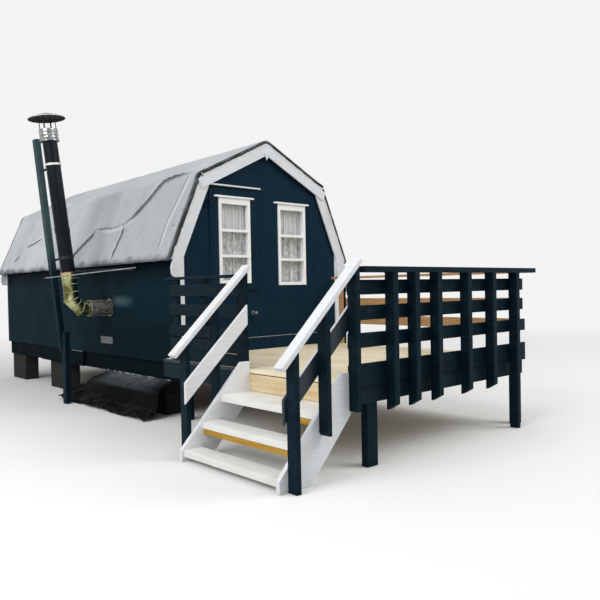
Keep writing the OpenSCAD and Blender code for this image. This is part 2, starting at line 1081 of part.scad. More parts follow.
module flue_brackets() {
  color("#3a3f44")
    placed() {
      on_flue()
        for (z = [clamp_z, clamp_z + clamp_l]) {
          translate([0, 0, z])
            tube(flue_d + 12, 6, 40);
          translate([prop_t / 2, flue_d / 2 - 5, z + 6])
            cube([8, post_y + prop_w / 2 - flue_d / 2 + 5, 28]);
        }
      translate([-stay_out, stay_y, stay_z])
        rotate([0, 0, stay_deg])
          cube([5, stay_l, 30]);
      translate([-stay_out, stay_y, stay_z])
        cube([stay_out, 40, 30]);
    }
}

module flue_cowl() {
  l = neck_l + flue_l;
  color("#a9aaa8")
    placed()
      on_flue() {
        translate([0, 0, l])
          tube(flue_d + 48, 30, 155);
        translate([0, 0, l + 6])
          tube(flue_d + 58, 6, 14);
        for (a = [0:90:270])
          rotate([0, 0, a])
            translate([flue_d / 2 + 12, -6, l + 145])
              cube([6, 12, 145]);
        translate([0, 0, l + 303])
          cylinder(d1 = cap_d, d2 = 50, h = 58);
        translate([0, 0, l + 287])
          cylinder(d = cap_d, h = 16 + eps);
      }
}

module flue_post() {
  color("#15202a")
    placed() {
      on_post()
        translate([-prop_t / 2, -prop_w / 2, -prop_drop])
          cube([prop_t, prop_w, prop_l]);
      translate([50 - flue_out, flue_y + post_y - prop_w * 1.5 + 8, 0])
        cube([prop_t, prop_w, prop_foot]);
    }
}

// Section of the black sheet: over the beam, out to a shoulder, down, and out on the ground
module sheet_section() {
  t = 8;
  x = beam_in;
  z = beam_z + sheet_lap;
  polygon([
    [x, z],
    [x - t, z],
    [x - t, z - sheet_lap - 6],
    [x - sheet_out, z - sheet_lap - 92],
    [x - sheet_out - 24, 70],
    [x - sheet_foot, t],
    [x - sheet_foot, 0],
    [x - sheet_out - 20, 56],
    [x - sheet_out + t, z - sheet_lap - 98],
    [x, z - sheet_lap - 14]
  ]);
}

module skirt_sheet() {
  y = sheet_y;
  l = sheet_l;
  color("#1a1b1d")
    placed()
      intersection() {
        upright(y, l)
          sheet_section();
        translate([-sheet_foot, 0, 0])
          rotate([90, 0, 90])
            linear_extrude(height = 2 * sheet_foot)
              polygon([
                [y, -1],
                [y, beam_z + 100],
                [y + 0.70 * l, beam_z + 100],
                [y + 0.79 * l, beam_z - 0.9 * sheet_sag],
                [y + l, beam_z - 1.2 * sheet_sag],
                [y + l, -1]
              ]);
      }
}

support_piers();
chassis();
floor_joists();
hut_floor();
left_wall();
right_wall();
rear_wall();
front_wall_left();
front_wall_right();
front_wall_head();
plinth_board();
corner_boards();
bargeboards_front();
bargeboards_rear();
roof_lower_panels();
roof_upper_panels();
roof_cover();
door_leaf();
door_window_frame();
door_window_glass();
door_curtain();
door_hinges();
hinge_lugs();
door_furniture();
door_drip();
window_frame();
window_glass();
window_curtain();
wall_vent();
deck_boards();
deck_frame();
deck_legs();
railing_front();
railing_left();
railing_right();
stair_stringers();
stair_treads();
handrails();
stair_posts();
flue_elbow();
flue_pipe();
flue_brackets();
flue_cowl();
flue_post();
skirt_sheet();
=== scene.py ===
# Shepherds hut with a gambrel roof, a raised deck, side stairs and a stove flue
from math import cos, exp, pi, radians, sin, sqrt, tan
from types import SimpleNamespace

import bpy
from mathutils import Matrix, Vector, noise


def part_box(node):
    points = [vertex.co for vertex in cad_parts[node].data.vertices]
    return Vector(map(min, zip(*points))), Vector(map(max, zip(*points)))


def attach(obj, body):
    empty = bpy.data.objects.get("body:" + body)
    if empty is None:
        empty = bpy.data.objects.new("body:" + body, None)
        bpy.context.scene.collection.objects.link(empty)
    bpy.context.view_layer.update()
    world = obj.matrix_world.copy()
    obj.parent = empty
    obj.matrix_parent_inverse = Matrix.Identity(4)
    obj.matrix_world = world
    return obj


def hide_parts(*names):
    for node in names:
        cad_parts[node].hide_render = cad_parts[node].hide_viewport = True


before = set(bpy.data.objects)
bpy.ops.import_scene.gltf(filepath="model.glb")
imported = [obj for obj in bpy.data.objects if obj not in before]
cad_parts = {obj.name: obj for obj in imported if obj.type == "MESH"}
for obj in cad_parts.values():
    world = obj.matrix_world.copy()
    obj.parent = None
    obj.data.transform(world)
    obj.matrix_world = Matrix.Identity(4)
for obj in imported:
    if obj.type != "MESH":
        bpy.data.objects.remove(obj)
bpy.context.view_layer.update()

# the lower front left corner of the hut is the zero of all places below, in metres
corner = Vector((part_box("left_wall")[0].x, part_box("front_wall_left")[0].y, 0))

print("stage: camera and light")

photo = {
    "pixels": 600,
    "focal": 652.2,  # focal length in pixels
    "stand": (-3.927, -6.404, 1.473),  # metres from the hut's lower front left corner
    "yaw": 42.141, "pitch": -1.036, "roll": -1.096,  # degrees
}

studio = {
    "floor": "#b9bab8", "floorSeen": "#f4f5f4", "floorSize": 120,
    "fadeFrom": 5.0, "fadeTo": 16.0,  # metres from the middle over which the floor turns into the backdrop
    "backdrop": 0.90,
    "ambient": 0.58,
    "aimHeight": 1.2,  # the lamps look at this height over the middle
    # place and size in metres, power in watts
    "key": (7.0, -12.0, 11.0), "keySize": 9.0, "keyPower": 900,
    "fill": (-12.0, -4.0, 9.0), "fillSize": 9.0, "fillPower": 1050,
}


def linear(code):
    # sRGB hex to the linear colour that nodes expect
    values = [int(code[i:i + 2], 16) / 255 for i in (1, 3, 5)]
    return [v / 12.92 if v <= 0.04045 else ((v + 0.055) / 1.055) ** 2.4 for v in values] + [1.0]


def wireNode(tree, node, wiring):
    # a key is a property, or an input by name or number
    # a value is a constant, a hex colour, a socket, or a node for its first output in use
    for key, value in wiring.items():
        if isinstance(value, bpy.types.Node):
            value = next(socket for socket in value.outputs if socket.enabled)
        elif isinstance(value, str) and value.startswith("#"):
            value = linear(value)
        if isinstance(value, bpy.types.NodeSocket):
            tree.links.new(value, node.inputs[key])
        elif isinstance(key, int) or key in node.inputs:
            node.inputs[key].default_value = value
        else:
            setattr(node, key, value)
    return node


def addNode(tree, kind, wiring=None):
    return wireNode(tree, tree.nodes.new(kind), wiring or {})


def at(x, y, z):
    return corner + Vector((x, y, z))


def addCamera():
    data = bpy.data.cameras.new("camera")
    data.sensor_fit = "HORIZONTAL"
    data.sensor_width = 36
    data.lens = photo["focal"] / photo["pixels"] * data.sensor_width
    data.clip_end = 300
    camera = bpy.data.objects.new("camera", data)
    bpy.context.scene.collection.objects.link(camera)
    turn = Matrix.Rotation(-radians(photo["yaw"]), 4, "Z")
    tip = Matrix.Rotation(pi / 2 + radians(photo["pitch"]), 4, "X")
    roll = Matrix.Rotation(radians(photo["roll"]), 4, "Z")
    camera.matrix_world = Matrix.Translation(at(*photo["stand"])) @ turn @ tip @ roll
    bpy.context.scene.camera = camera


def addLamp(name, place, size, power):
    data = bpy.data.lights.new(name, "AREA")
    data.shape = "DISK"
    data.size = size
    data.energy = power
    lamp = bpy.data.objects.new(name, data)
    bpy.context.scene.collection.objects.link(lamp)
    lamp.location = place
    aim = Vector((0, 0, studio["aimHeight"])) - Vector(place)
    lamp.rotation_euler = aim.to_track_quat("-Z", "Y").to_euler()


def directRays(tree):
    # 1 for what the camera sees by itself, through glass or in a shiny surface
    path = addNode(tree, "ShaderNodeLightPath").outputs
    seen = path["Is Camera Ray"]
    for other in ("Is Transmission Ray", "Is Glossy Ray"):
        seen = addNode(tree, "ShaderNodeMath", {"operation": "MAXIMUM", 0: seen, 1: path[other]})
    return seen


def addBackdrop(shown):
    world = bpy.data.worlds.new("studio")
    bpy.context.scene.world = world
    world.use_nodes = True
    tree = world.node_tree
    light = wireNode(tree, tree.nodes["Background"], {"Color": (1, 1, 1, 1), "Strength": studio["ambient"]})
    plain = addNode(tree, "ShaderNodeBackground", shown)
    mix = addNode(tree, "ShaderNodeMixShader", {0: directRays(tree), 1: light, 2: plain})
    wireNode(tree, tree.nodes["World Output"], {"Surface": mix})


def addFloor(shown):
    # a pale floor that keeps the shadow and turns into the backdrop far out
    bpy.ops.mesh.primitive_plane_add(size=studio["floorSize"], location=(0, 0, -0.001))
    ground = bpy.context.object
    ground.name = "studio_floor"
    material = bpy.data.materials.new("studio_floor")
    material.use_nodes = True
    tree = material.node_tree
    seen = directRays(tree)
    tone = addNode(tree, "ShaderNodeMix", {
        "data_type": "RGBA", 0: seen, 6: studio["floor"], 7: studio["floorSeen"]})
    shader = wireNode(tree, tree.nodes["Principled BSDF"], {
        "Base Color": tone, "Roughness": 1.0, "Specular IOR Level": 0.0})
    spot = addNode(tree, "ShaderNodeTexCoord").outputs["Object"]
    reach = addNode(tree, "ShaderNodeVectorMath", {"operation": "LENGTH", 0: spot}).outputs["Value"]
    away = addNode(tree, "ShaderNodeMapRange", {
        "Value": reach, "From Min": studio["fadeFrom"], "From Max": studio["fadeTo"]})
    fade = addNode(tree, "ShaderNodeMath", {"operation": "MULTIPLY", 0: away, 1: seen})
    glow = addNode(tree, "ShaderNodeEmission", shown)
    mix = addNode(tree, "ShaderNodeMixShader", {0: fade, 1: shader, 2: glow})
    wireNode(tree, tree.nodes["Material Output"], {"Surface": mix})
    ground.data.materials.append(material)


def addStudio():
    level = studio["backdrop"]
    shown = {"Color": (level, level, level * 1.005, 1), "Strength": 1.0}
    addBackdrop(shown)
    addLamp("key", studio["key"], studio["keySize"], studio["keyPower"])
    addLamp("fill", studio["fill"], studio["fillSize"], studio["fillPower"])
    addFloor(shown)
    bpy.context.scene.view_settings.view_transform = "Standard"


def deselectAll():
    if bpy.context.object and bpy.context.object.mode != "OBJECT":
        bpy.ops.object.mode_set(mode="OBJECT")
    bpy.ops.object.select_all(action="DESELECT")


addCamera()
deselectAll()
addStudio()

print("stage: materials")

paints = {}  # the nodes of each material, for what is laid over it later


def startMaterial(name, settings):
    # constants go on the shader's own sockets; places are read from the hut's corner
    material = bpy.data.materials.new(name)
    material.use_nodes = True
    tree = material.node_tree
    shader = wireNode(tree, tree.nodes["Principled BSDF"], settings)
    seen = addNode(tree, "ShaderNodeTexCoord").outputs["Object"]
    place = addNode(tree, "ShaderNodeMapping", {"Location": -corner, "Vector": seen})
    paint = SimpleNamespace(material=material, tree=tree, shader=shader, place=place, tone=None, relief=None)
    paints[name] = paint
    return paint


def addCoats(tree, tone, coats):
    # a coat shows where its pattern runs from low to high, and covers up to its share
    for pattern, low, high, share, colour in coats:
        cover = addNode(tree, "ShaderNodeMapRange", {
            "Value": pattern, "From Min": low, "From Max": high, "To Max": share})
        tone = addNode(tree, "ShaderNodeMix", {"data_type": "RGBA", 0: cover, 6: tone, 7: colour})
    return tone


def softMask(tree, steps, share=1.0):
    # full where every step is passed: each is a value, where it starts and where it is full
    mask = share
    for value, start, full in steps:
        step = addNode(tree, "ShaderNodeMapRange", {"Value": value, "From Min": start, "From Max": full})
        mask = addNode(tree, "ShaderNodeMath", {"operation": "MULTIPLY", 0: mask, 1: step})
    return mask


def jointLines(tree, along, pitch, start, full):
    # thin lines every pitch metres; start and full are measured from the middle of a board, as shares
    boards = addNode(tree, "ShaderNodeMath", {"operation": "DIVIDE", 0: along, 1: pitch})
    share = addNode(tree, "ShaderNodeMath", {"operation": "FRACT", 0: boards})
    offset = addNode(tree, "ShaderNodeMath", {"operation": "SUBTRACT", 0: share, 1: 0.5})
    fromMiddle = addNode(tree, "ShaderNodeMath", {"operation": "ABSOLUTE", 0: offset})
    return addNode(tree, "ShaderNodeMapRange", {"Value": fromMiddle, "From Min": start, "From Max": full})


def ripples(tree, along, pitch):
    # round grooves every pitch metres
    turns = addNode(tree, "ShaderNodeMath", {"operation": "MULTIPLY", 0: along, 1: 2 * pi / pitch})
    return addNode(tree, "ShaderNodeMath", {"operation": "SINE", 0: turns})


def finishMaterial(paint, tone, sheen=None, reliefs=()):
    # sheen: pattern, its low and high, roughness there; reliefs: pattern, depth in metres, strength
    tree = paint.tree
    paint.tone = tone
    wireNode(tree, paint.shader, {"Base Color": tone})
    if sheen:
        pattern, low, high, smooth, rough = sheen
        wireNode(tree, paint.shader, {"Roughness": addNode(tree, "ShaderNodeMapRange", {
            "Value": pattern, "From Min": low, "From Max": high, "To Min": smooth, "To Max": rough})})
    for pattern, depth, strength in reliefs:
        bump = addNode(tree, "ShaderNodeBump", {"Height": pattern, "Distance": depth, "Strength": strength})
        if paint.relief:
            wireNode(tree, bump, {"Normal": paint.relief})
        paint.relief = bump
        wireNode(tree, paint.shader, {"Normal": bump})
    return paint.material


def layOver(name, coats):
    # more coats on a finished material
    paint = paints[name]
    return finishMaterial(paint, addCoats(paint.tree, paint.tone, coats))


def timberPaint(name, colour, worn, grime, rough, grain, specular=0.5, boards=None):
    # brushed oil paint on sawn timber: grain telegraphs through, dirt lies in soft patches
    paint = startMaterial(name, {"Specular IOR Level": specular})
    tree, place = paint.tree, paint.place
    stretched = addNode(tree, "ShaderNodeMapping", {"Vector": place, "Scale": grain})
    fibres = addNode(tree, "ShaderNodeTexNoise", {
        "Vector": stretched, "Scale": 1.0, "Detail": 6.0, "Roughness": 0.6})
    patches = addNode(tree, "ShaderNodeTexNoise", {
        "Vector": place, "Scale": 2.3, "Detail": 5.0, "Roughness": 0.6})
    speck = addNode(tree, "ShaderNodeTexNoise", {
        "Vector": place, "Scale": 38.0, "Detail": 3.0, "Roughness": 0.6})
    tone = addCoats(tree, colour, [
        (fibres, 0.42, 0.68, 1.0, worn), (patches, 0.52, 0.78, 0.55, grime),
        (speck, 0.66, 0.74, 0.35, grime)])
    reliefs = [(fibres, 0.0012, 1.0)]
    if boards:
        across = addNode(tree, "ShaderNodeSeparateXYZ", {"Vector": place}).outputs["X"]
        reliefs = [(fibres, 0.0008, 1.0), (jointLines(tree, across, boards, 0.47, 0.5), -0.0015, 0.35)]
    return finishMaterial(paint, tone, (patches, 0.3, 0.7, rough - 0.08, rough + 0.12), reliefs)


def bareTimber(name, light, dark, knot, grain, rough=0.7, plank=None):
    # sawn softwood: growth lines along the board, scattered knots
    paint = startMaterial(name, {"Specular IOR Level": 0.12, "Roughness": rough})
    tree, place = paint.tree, paint.place
    stretched = addNode(tree, "ShaderNodeMapping", {"Vector": place, "Scale": grain})
    lines = addNode(tree, "ShaderNodeTexNoise", {
        "Vector": stretched, "Scale": 1.0, "Detail": 5.0, "Roughness": 0.62})
    wander = addNode(tree, "ShaderNodeTexNoise", {
        "Vector": place, "Scale": 2.2, "Detail": 2.0, "Roughness": 0.5})
    spots = addNode(tree, "ShaderNodeTexVoronoi", {"Vector": place, "Scale": 4.2, "Randomness": 1.0})
    coats = [(lines, 0.36, 0.66, 1.0, dark)]
    if plank:
        # every board has a tone of its own
        axis, pitch = plank
        across = addNode(tree, "ShaderNodeSeparateXYZ", {"Vector": place}).outputs[axis]
        count = addNode(tree, "ShaderNodeMath", {"operation": "DIVIDE", 0: across, 1: pitch})
        step = addNode(tree, "ShaderNodeMath", {"operation": "FLOOR", 0: count})
        toss = addNode(tree, "ShaderNodeTexWhiteNoise", {"noise_dimensions": "1D", "W": step})
        coats.append((toss, 0.0, 1.0, 0.45, dark))
    coats += [(spots, 0.075, 0.03, 1.0, knot), (wander, 0.55, 0.8, 0.4, "#9a8b6c")]
    return finishMaterial(paint, addCoats(tree, light, coats), None, [(lines, 0.0015, 1.0)])


def overPaint(name, places, facings=(), colour="#0b1c26", worn="#162a34"):
    # lays paint over part of a timber: tests of place in metres and of the surface's facing
    paint = paints[name]
    tree = paint.tree
    facing = addNode(tree, "ShaderNodeNewGeometry").outputs["Normal"]
    mask = 1.0
    for source, tests in ((paint.place, places), (facing, facings)):
        axes = addNode(tree, "ShaderNodeSeparateXYZ", {"Vector": source}).outputs
        for axis, side, limit in tests:
            test = addNode(tree, "ShaderNodeMath", {"operation": side, 0: axes[axis], 1: limit})
            mask = addNode(tree, "ShaderNodeMath", {"operation": "MULTIPLY", 0: mask, 1: test})
    brushed = addNode(tree, "ShaderNodeTexNoise", {
        "Vector": paint.place, "Scale": 7.0, "Detail": 5.0, "Roughness": 0.55})
    layOver(name, [(mask, 0.0, 1.0, 1.0, addCoats(tree, colour, [(brushed, 0.0, 1.0, 1.0, worn)]))])


def groovedRail(name, axis, low, high):
    # navy fence paint on grooved deck boards used as rails: grooves 17 mm apart between two places
    timberPaint(name, "#0d1e28", "#142833", "#1b2f38", 0.42, (9, 9, 22), 0.04)
    paint = paints[name]
    tree = paint.tree
    axes = addNode(tree, "ShaderNodeSeparateXYZ", {"Vector": paint.place}).outputs
    grooves = ripples(tree, axes["Z"], 0.017)
    for place, side, limit in (
            (axes[axis], "GREATER_THAN", low), (axes[axis], "LESS_THAN", high),
            (axes["Z"], "LESS_THAN", 1.56)):
        test = addNode(tree, "ShaderNodeMath", {"operation": side, 0: place, 1: limit})
        grooves = addNode(tree, "ShaderNodeMath", {"operation": "MULTIPLY", 0: grooves, 1: test})
    return finishMaterial(paint, paint.tone, None, [(grooves, 0.0022, 1.0)])


def bareInside(name):
    # bare inside and on top, where the brush never went
    paint = paints[name]
    tree = paint.tree
    facing = addNode(tree, "ShaderNodeNewGeometry").outputs["Normal"]
    axes = addNode(tree, "ShaderNodeSeparateXYZ", {"Vector": facing}).outputs
    inward = addNode(tree, "ShaderNodeMath", {"operation": "LESS_THAN", 0: axes["X"], 1: -0.5})
    onTop = addNode(tree, "ShaderNodeMath", {"operation": "GREATER_THAN", 0: axes["Z"], 1: 0.5})
    mask = addNode(tree, "ShaderNodeMath", {"operation": "MAXIMUM", 0: inward, 1: onTop})
    stretched = addNode(tree, "ShaderNodeMapping", {"Vector": paint.place, "Scale": (6, 1, 9)})
    grain = addNode(tree, "ShaderNodeTexNoise", {
        "Vector": stretched, "Scale": 5.0, "Detail": 5.0, "Roughness": 0.6})
    layOver(name, [(mask, 0.0, 1.0, 1.0, addCoats(tree, "#8a5c34", [(grain, 0.0, 1.0, 1.0, "#d6b384")]))])


def paintWallShadeAndReflection(name):
    # painted shade under the hem, a darker patch low down towards the stairs, and a painted reflection in
    # front of the flue's wall plate, on the left wall alone
    paint = paints[name]
    tree = paint.tree
    x, y, z = addNode(tree, "ShaderNodeSeparateXYZ", {"Vector": paint.place}).outputs
    left = (x, 0.02, 0.01)
    # painted shade under the hem
    shade = softMask(tree, [(z, 1.50, 1.76), left], 0.75)
    # darker low down towards the stairs
    lowFrontDarkening = softMask(tree, [(y, 2.6, 1.6), (z, 1.3, 0.95), left], 0.6)
    # the painted shade and the low darkening together
    damp = addNode(tree, "ShaderNodeMath", {"operation": "MAXIMUM", 0: shade, 1: lowFrontDarkening})
    # painted reflection of the flue: a pale patch on the wall in front of the flue's wall plate
    flueReflection = softMask(tree, [(y, 1.02, 1.30), (y, 1.64, 1.50), (z, 1.26, 1.34), (z, 1.44, 1.36), left], 0.75)
    # dark for the shade and the low darkening, pale for the painted reflection
    layOver(name, [(damp, 0.0, 1.0, 1.0, "#05131a"), (flueReflection, 0.0, 1.0, 1.0, "#4c5f68")])


def fadePost(name):
    # the sun has greyed the upper part of the flue's post
    paint = paints[name]
    tree = paint.tree
    upward = addNode(tree, "ShaderNodeSeparateXYZ", {"Vector": paint.place}).outputs["Z"]
    clouds = addNode(tree, "ShaderNodeTexNoise", {
        "Vector": paint.place, "Scale": 9.0, "Detail": 5.0, "Roughness": 0.55})
    layOver(name, [(upward, 1.75, 2.0, 1.0, addCoats(tree, "#2b3d43", [(clouds, 0.0, 1.0, 1.0, "#48595b")]))])


def stainlessSteel():
    # bright drawn stainless steel, straw to olive where the heat has tinted it
    paint = startMaterial("heat_tinted_stainless", {"Metallic": 1.0})
    tree, place = paint.tree, paint.place
    along = addNode(tree, "ShaderNodeSeparateXYZ", {"Vector": place}).outputs["X"]
    clouds = addNode(tree, "ShaderNodeTexNoise", {
        "Vector": place, "Scale": 5.0, "Detail": 3.0, "Roughness": 0.5})
    drawn = addNode(tree, "ShaderNodeMapping", {"Vector": place, "Scale": (60, 8, 8)})
    streaks = addNode(tree, "ShaderNodeTexNoise", {
        "Vector": drawn, "Scale": 1.0, "Detail": 3.0, "Roughness": 0.6})
    tint = addCoats(tree, "#c6c792", [(clouds, 0.40, 0.58, 1.0, "#5f6034")])
    tone = addCoats(tree, "#c9c7c2", [(along, -0.12, -0.34, 1.0, tint), (streaks, 0.5, 0.72, 0.6, "#3c3a30")])
    return finishMaterial(paint, tone, (streaks, 0.3, 0.7, 0.12, 0.30), [(streaks, 0.0006, 1.0)])


def sheetMetal(name, colour, dark, rough, metallic=1.0):
    # plain rolled steel with handling marks
    paint = startMaterial(name, {"Metallic": metallic})
    marks = addNode(paint.tree, "ShaderNodeTexNoise", {
        "Vector": paint.place, "Scale": 24.0, "Detail": 5.0, "Roughness": 0.6})
    tone = addCoats(paint.tree, colour, [(marks, 0.35, 0.7, 1.0, dark)])
    return finishMaterial(paint, tone, (marks, 0.3, 0.7, rough - 0.08, rough + 0.12), [(marks, 0.0004, 1.0)])


def seamTintAndHighlight():
    # rolled seams of the elbow: straw tint where they face the stairs, and a painted highlight on the side
    # towards the wall
    paint = startMaterial("tinted_seam_with_painted_highlight", {"Metallic": 0.6, "Roughness": 0.38})
    tree = paint.tree
    facing = addNode(tree, "ShaderNodeNewGeometry").outputs["Normal"]
    side = addNode(tree, "ShaderNodeSeparateXYZ", {"Vector": facing}).outputs["X"]
    grit = addNode(tree, "ShaderNodeTexNoise", {
        "Vector": paint.place, "Scale": 40.0, "Detail": 4.0, "Roughness": 0.55})
    # near white on the faces that look towards the wall: painted highlight
    tone = addCoats(tree, "#7d7c52", [(side, -0.35, 0.15, 1.0, "#f2f2ee")])
    return finishMaterial(paint, tone, None, [(grit, 0.0003, 1.0)])


def blackEnamel():
    # stove enamel baked on steel: near black, semi gloss, faint drips and dust
    paint = startMaterial("black_flue_enamel", {"Specular IOR Level": 0.12})
    tree = paint.tree
    drips = addNode(tree, "ShaderNodeMapping", {"Vector": paint.place, "Scale": (1, 1, 0.3)})
    dust = addNode(tree, "ShaderNodeTexNoise", {
        "Vector": drips, "Scale": 6.0, "Detail": 6.0, "Roughness": 0.65})
    tone = addCoats(tree, "#0e151a", [(dust, 0.45, 0.75, 1.0, "#182026")])
    return finishMaterial(paint, tone, (dust, 0.3, 0.7, 0.24, 0.38), [(dust, 0.0008, 1.0)])


def concreteBlock():
    # weathered dense concrete blocks laid 209.5 mm to a course, mortar joints and grit; the dark grey is
    # painted shade, as the blocks stand in shadow under the hut
    paint = startMaterial("weathered_concrete_block_in_shade", {"Specular IOR Level": 0.2, "Roughness": 0.92})
    tree, place = paint.tree, paint.place
    grit = addNode(tree, "ShaderNodeTexNoise", {
        "Vector": place, "Scale": 90.0, "Detail": 6.0, "Roughness": 0.7})
    damp = addNode(tree, "ShaderNodeTexNoise", {
        "Vector": place, "Scale": 4.0, "Detail": 5.0, "Roughness": 0.6})
    upward = addNode(tree, "ShaderNodeSeparateXYZ", {"Vector": place}).outputs["Z"]
    joint = jointLines(tree, upward, 0.2095, 0.465, 0.49)
    tone = addCoats(tree, "#303230", [
        (grit, 0.35, 0.68, 1.0, "#222422"), (damp, 0.45, 0.7, 0.7, "#1b1d19"),
        (joint, 0.0, 1.0, 1.0, "#3c3b37")])
    return finishMaterial(paint, tone, None, [(grit, 0.002, 1.0), (joint, -0.006, 1.0)])


def roofMembrane():
    # grey coated roofing fabric: chalky; painted shade and painted highlight along the folds; dirt and
    # painted shade along the hem and on the turned edges
    paint = startMaterial("grey_roof_membrane", {"Specular IOR Level": 0.3})
    tree, place = paint.tree, paint.place
    broad = addNode(tree, "ShaderNodeTexNoise", {
        "Vector": place, "Scale": 1.3, "Detail": 5.0, "Roughness": 0.6})
    runs = addNode(tree, "ShaderNodeMapping", {"Vector": place, "Scale": (3.2, 4.2, 2.6)})
    streak = addNode(tree, "ShaderNodeTexNoise", {
        "Vector": runs, "Scale": 1.0, "Detail": 5.0, "Roughness": 0.65})
    fine = addNode(tree, "ShaderNodeTexNoise", {
        "Vector": place, "Scale": 60.0, "Detail": 4.0, "Roughness": 0.6})
    folds = addNode(tree, "ShaderNodeAttribute", {"attribute_name": "fold_shading"}).outputs["Fac"]
    hem = addNode(tree, "ShaderNodeAttribute", {"attribute_name": "hem"}).outputs["Fac"]
    rearward, upward = addNode(tree, "ShaderNodeSeparateXYZ", {"Vector": place}).outputs[1:3]
    tone = addCoats(tree, "#b0b5bb", [
        # lighter towards the rear; the upper slope gets a grey of its own, a painted difference in light
        # between the slopes
        (rearward, 0.3, 4.6, 1.0, "#cdd4d8"), (upward, 2.7, 2.95, 1.0, "#bcc1c4"),
        (broad, 0.42, 0.72, 0.45, "#a0a5ab"), (streak, 0.50, 0.74, 0.40, "#959aa0"),
        # painted highlight and painted shade along the folds, then dirt and painted shade along the hem and
        # the turned edges
        (fine, 0.50, 0.72, 0.35, "#858a90"), (folds, 0.0, -0.3, 0.6, "#dfe3e6"),
        (folds, 0.0, 1.0, 1.0, "#2c3036"), (hem, 0.0, 1.0, 1.0, "#14171a")])
    reliefs = [(streak, 0.012, 1.0), (fine, 0.0012, 1.0)]
    return finishMaterial(paint, tone, (broad, 0.3, 0.7, 0.5, 0.68), reliefs)


def laceNet():
    # cotton lace net, gathered: bright threads; the open work low down is painted dark, the shade of the
    # hut's inside showing through
    paint = startMaterial("gathered_lace_net", {"Roughness": 0.9, "Specular IOR Level": 0.1})
    tree = paint.tree
    flat = addNode(tree, "ShaderNodeUVMap")
    up = addNode(tree, "ShaderNodeSeparateXYZ", {"Vector": flat}).outputs["Y"]
    petals = addNode(tree, "ShaderNodeTexVoronoi", {"feature": "SMOOTH_F1", "Vector": flat, "Scale": 16.0})
    scroll = addNode(tree, "ShaderNodeTexNoise", {
        "Vector": flat, "Scale": 11.0, "Detail": 3.0, "Distortion": 1.4})
    threads = addNode(tree, "ShaderNodeTexWave", {
        "Vector": flat, "Scale": 70.0, "Distortion": 0.4}).outputs["Fac"]
    # painted shade of the dark inside seen through the open work
    openWork = softMask(tree, [(scroll, 0.47, 0.56), (petals, 0.15, 0.45), (up, 0.72, 0.60)], 0.45)
    # the gathers throw soft upright shadows
    pleats = addNode(tree, "ShaderNodeMapping", {"Vector": flat, "Scale": (34, 0.8, 1)})
    gathers = addNode(tree, "ShaderNodeTexNoise", {
        "Vector": pleats, "Scale": 1.0, "Detail": 3.0, "Roughness": 0.6})
    tone = addCoats(tree, "#fdfdfc", [
        (threads, 0.0, 1.0, 0.25, "#e9eae8"), (gathers, 0.47, 0.60, 0.5, "#858d8a"),
        (openWork, 0.0, 1.0, 1.0, "#6a716d")])
    return finishMaterial(paint, tone, None, [(threads, 0.001, 1.0)])


def blackPolythene():
    # heavy black polythene: dull black film; grey low down, splashed soil with painted sheen on the crumples
    paint = startMaterial("black_polythene", {"Specular IOR Level": 0.02})
    tree, place = paint.tree, paint.place
    lengthwise, height = addNode(tree, "ShaderNodeSeparateXYZ", {"Vector": place}).outputs[1:3]
    film = addNode(tree, "ShaderNodeTexNoise", {
        "Vector": place, "Scale": 13.0, "Detail": 6.0, "Roughness": 0.7})
    soil = addNode(tree, "ShaderNodeTexNoise", {
        "Vector": place, "Scale": 9.0, "Detail": 5.0, "Roughness": 0.6})
    broken = addNode(tree, "ShaderNodeTexNoise", {
        "Vector": place, "Scale": 6.0, "Detail": 4.0, "Roughness": 0.6})
    # grey low down: splashed soil, and painted sheen on the crumples by the ground
    dirt = softMask(tree, [(height, 0.12, 0.02), (soil, 0.42, 0.6)], 0.75)
    # painted sky sheen: the shoulder under the beam is painted grey where the sky falls on it, broken up by
    # the soil pattern
    chalk = addNode(tree, "ShaderNodeMapRange", {
        "Value": soil, "From Min": 0.3, "From Max": 0.7, "To Min": 0.35, "To Max": 0.9})
    shoulder = softMask(tree, [(height, 0.27, 0.40), (height, 0.44, 0.41), (lengthwise, 0.22, 0.75),
                               (lengthwise, 2.0, 1.5)], chalk)
    # painted highlight along the fold at the nailed edge, broken up
    nailedEdgeHighlight = softMask(tree, [(height, 0.415, 0.420), (height, 0.434, 0.430), (broken, 0.50, 0.54)])
    tone = addCoats(tree, "#040607", [
        (film, 0.4, 0.7, 1.0, "#090c0e"), (shoulder, 0.0, 1.0, 1.0, "#6a7477"),
        (dirt, 0.0, 1.0, 1.0, "#343634"), (nailedEdgeHighlight, 0.0, 1.0, 1.0, "#8c9496")])
    return finishMaterial(paint, tone, (soil, 0.3, 0.7, 0.35, 0.55), [(film, 0.0012, 1.0)])


def windowGlass():
    # thin float glass with old rain marks: mostly clear
    paint = startMaterial("float_glass", {"Alpha": 0.05, "IOR": 1.45, "Specular IOR Level": 0.4})
    tree = paint.tree
    runs = addNode(tree, "ShaderNodeMapping", {"Vector": paint.place, "Scale": (1, 1, 0.25)})
    marks = addNode(tree, "ShaderNodeTexNoise", {
        "Vector": runs, "Scale": 14.0, "Detail": 5.0, "Roughness": 0.6})
    tone = addCoats(tree, "#6f7c84", [(marks, 0.4, 0.75, 1.0, "#b5bfc4")])
    return finishMaterial(paint, tone, (marks, 0.3, 0.8, 0.03, 0.12))


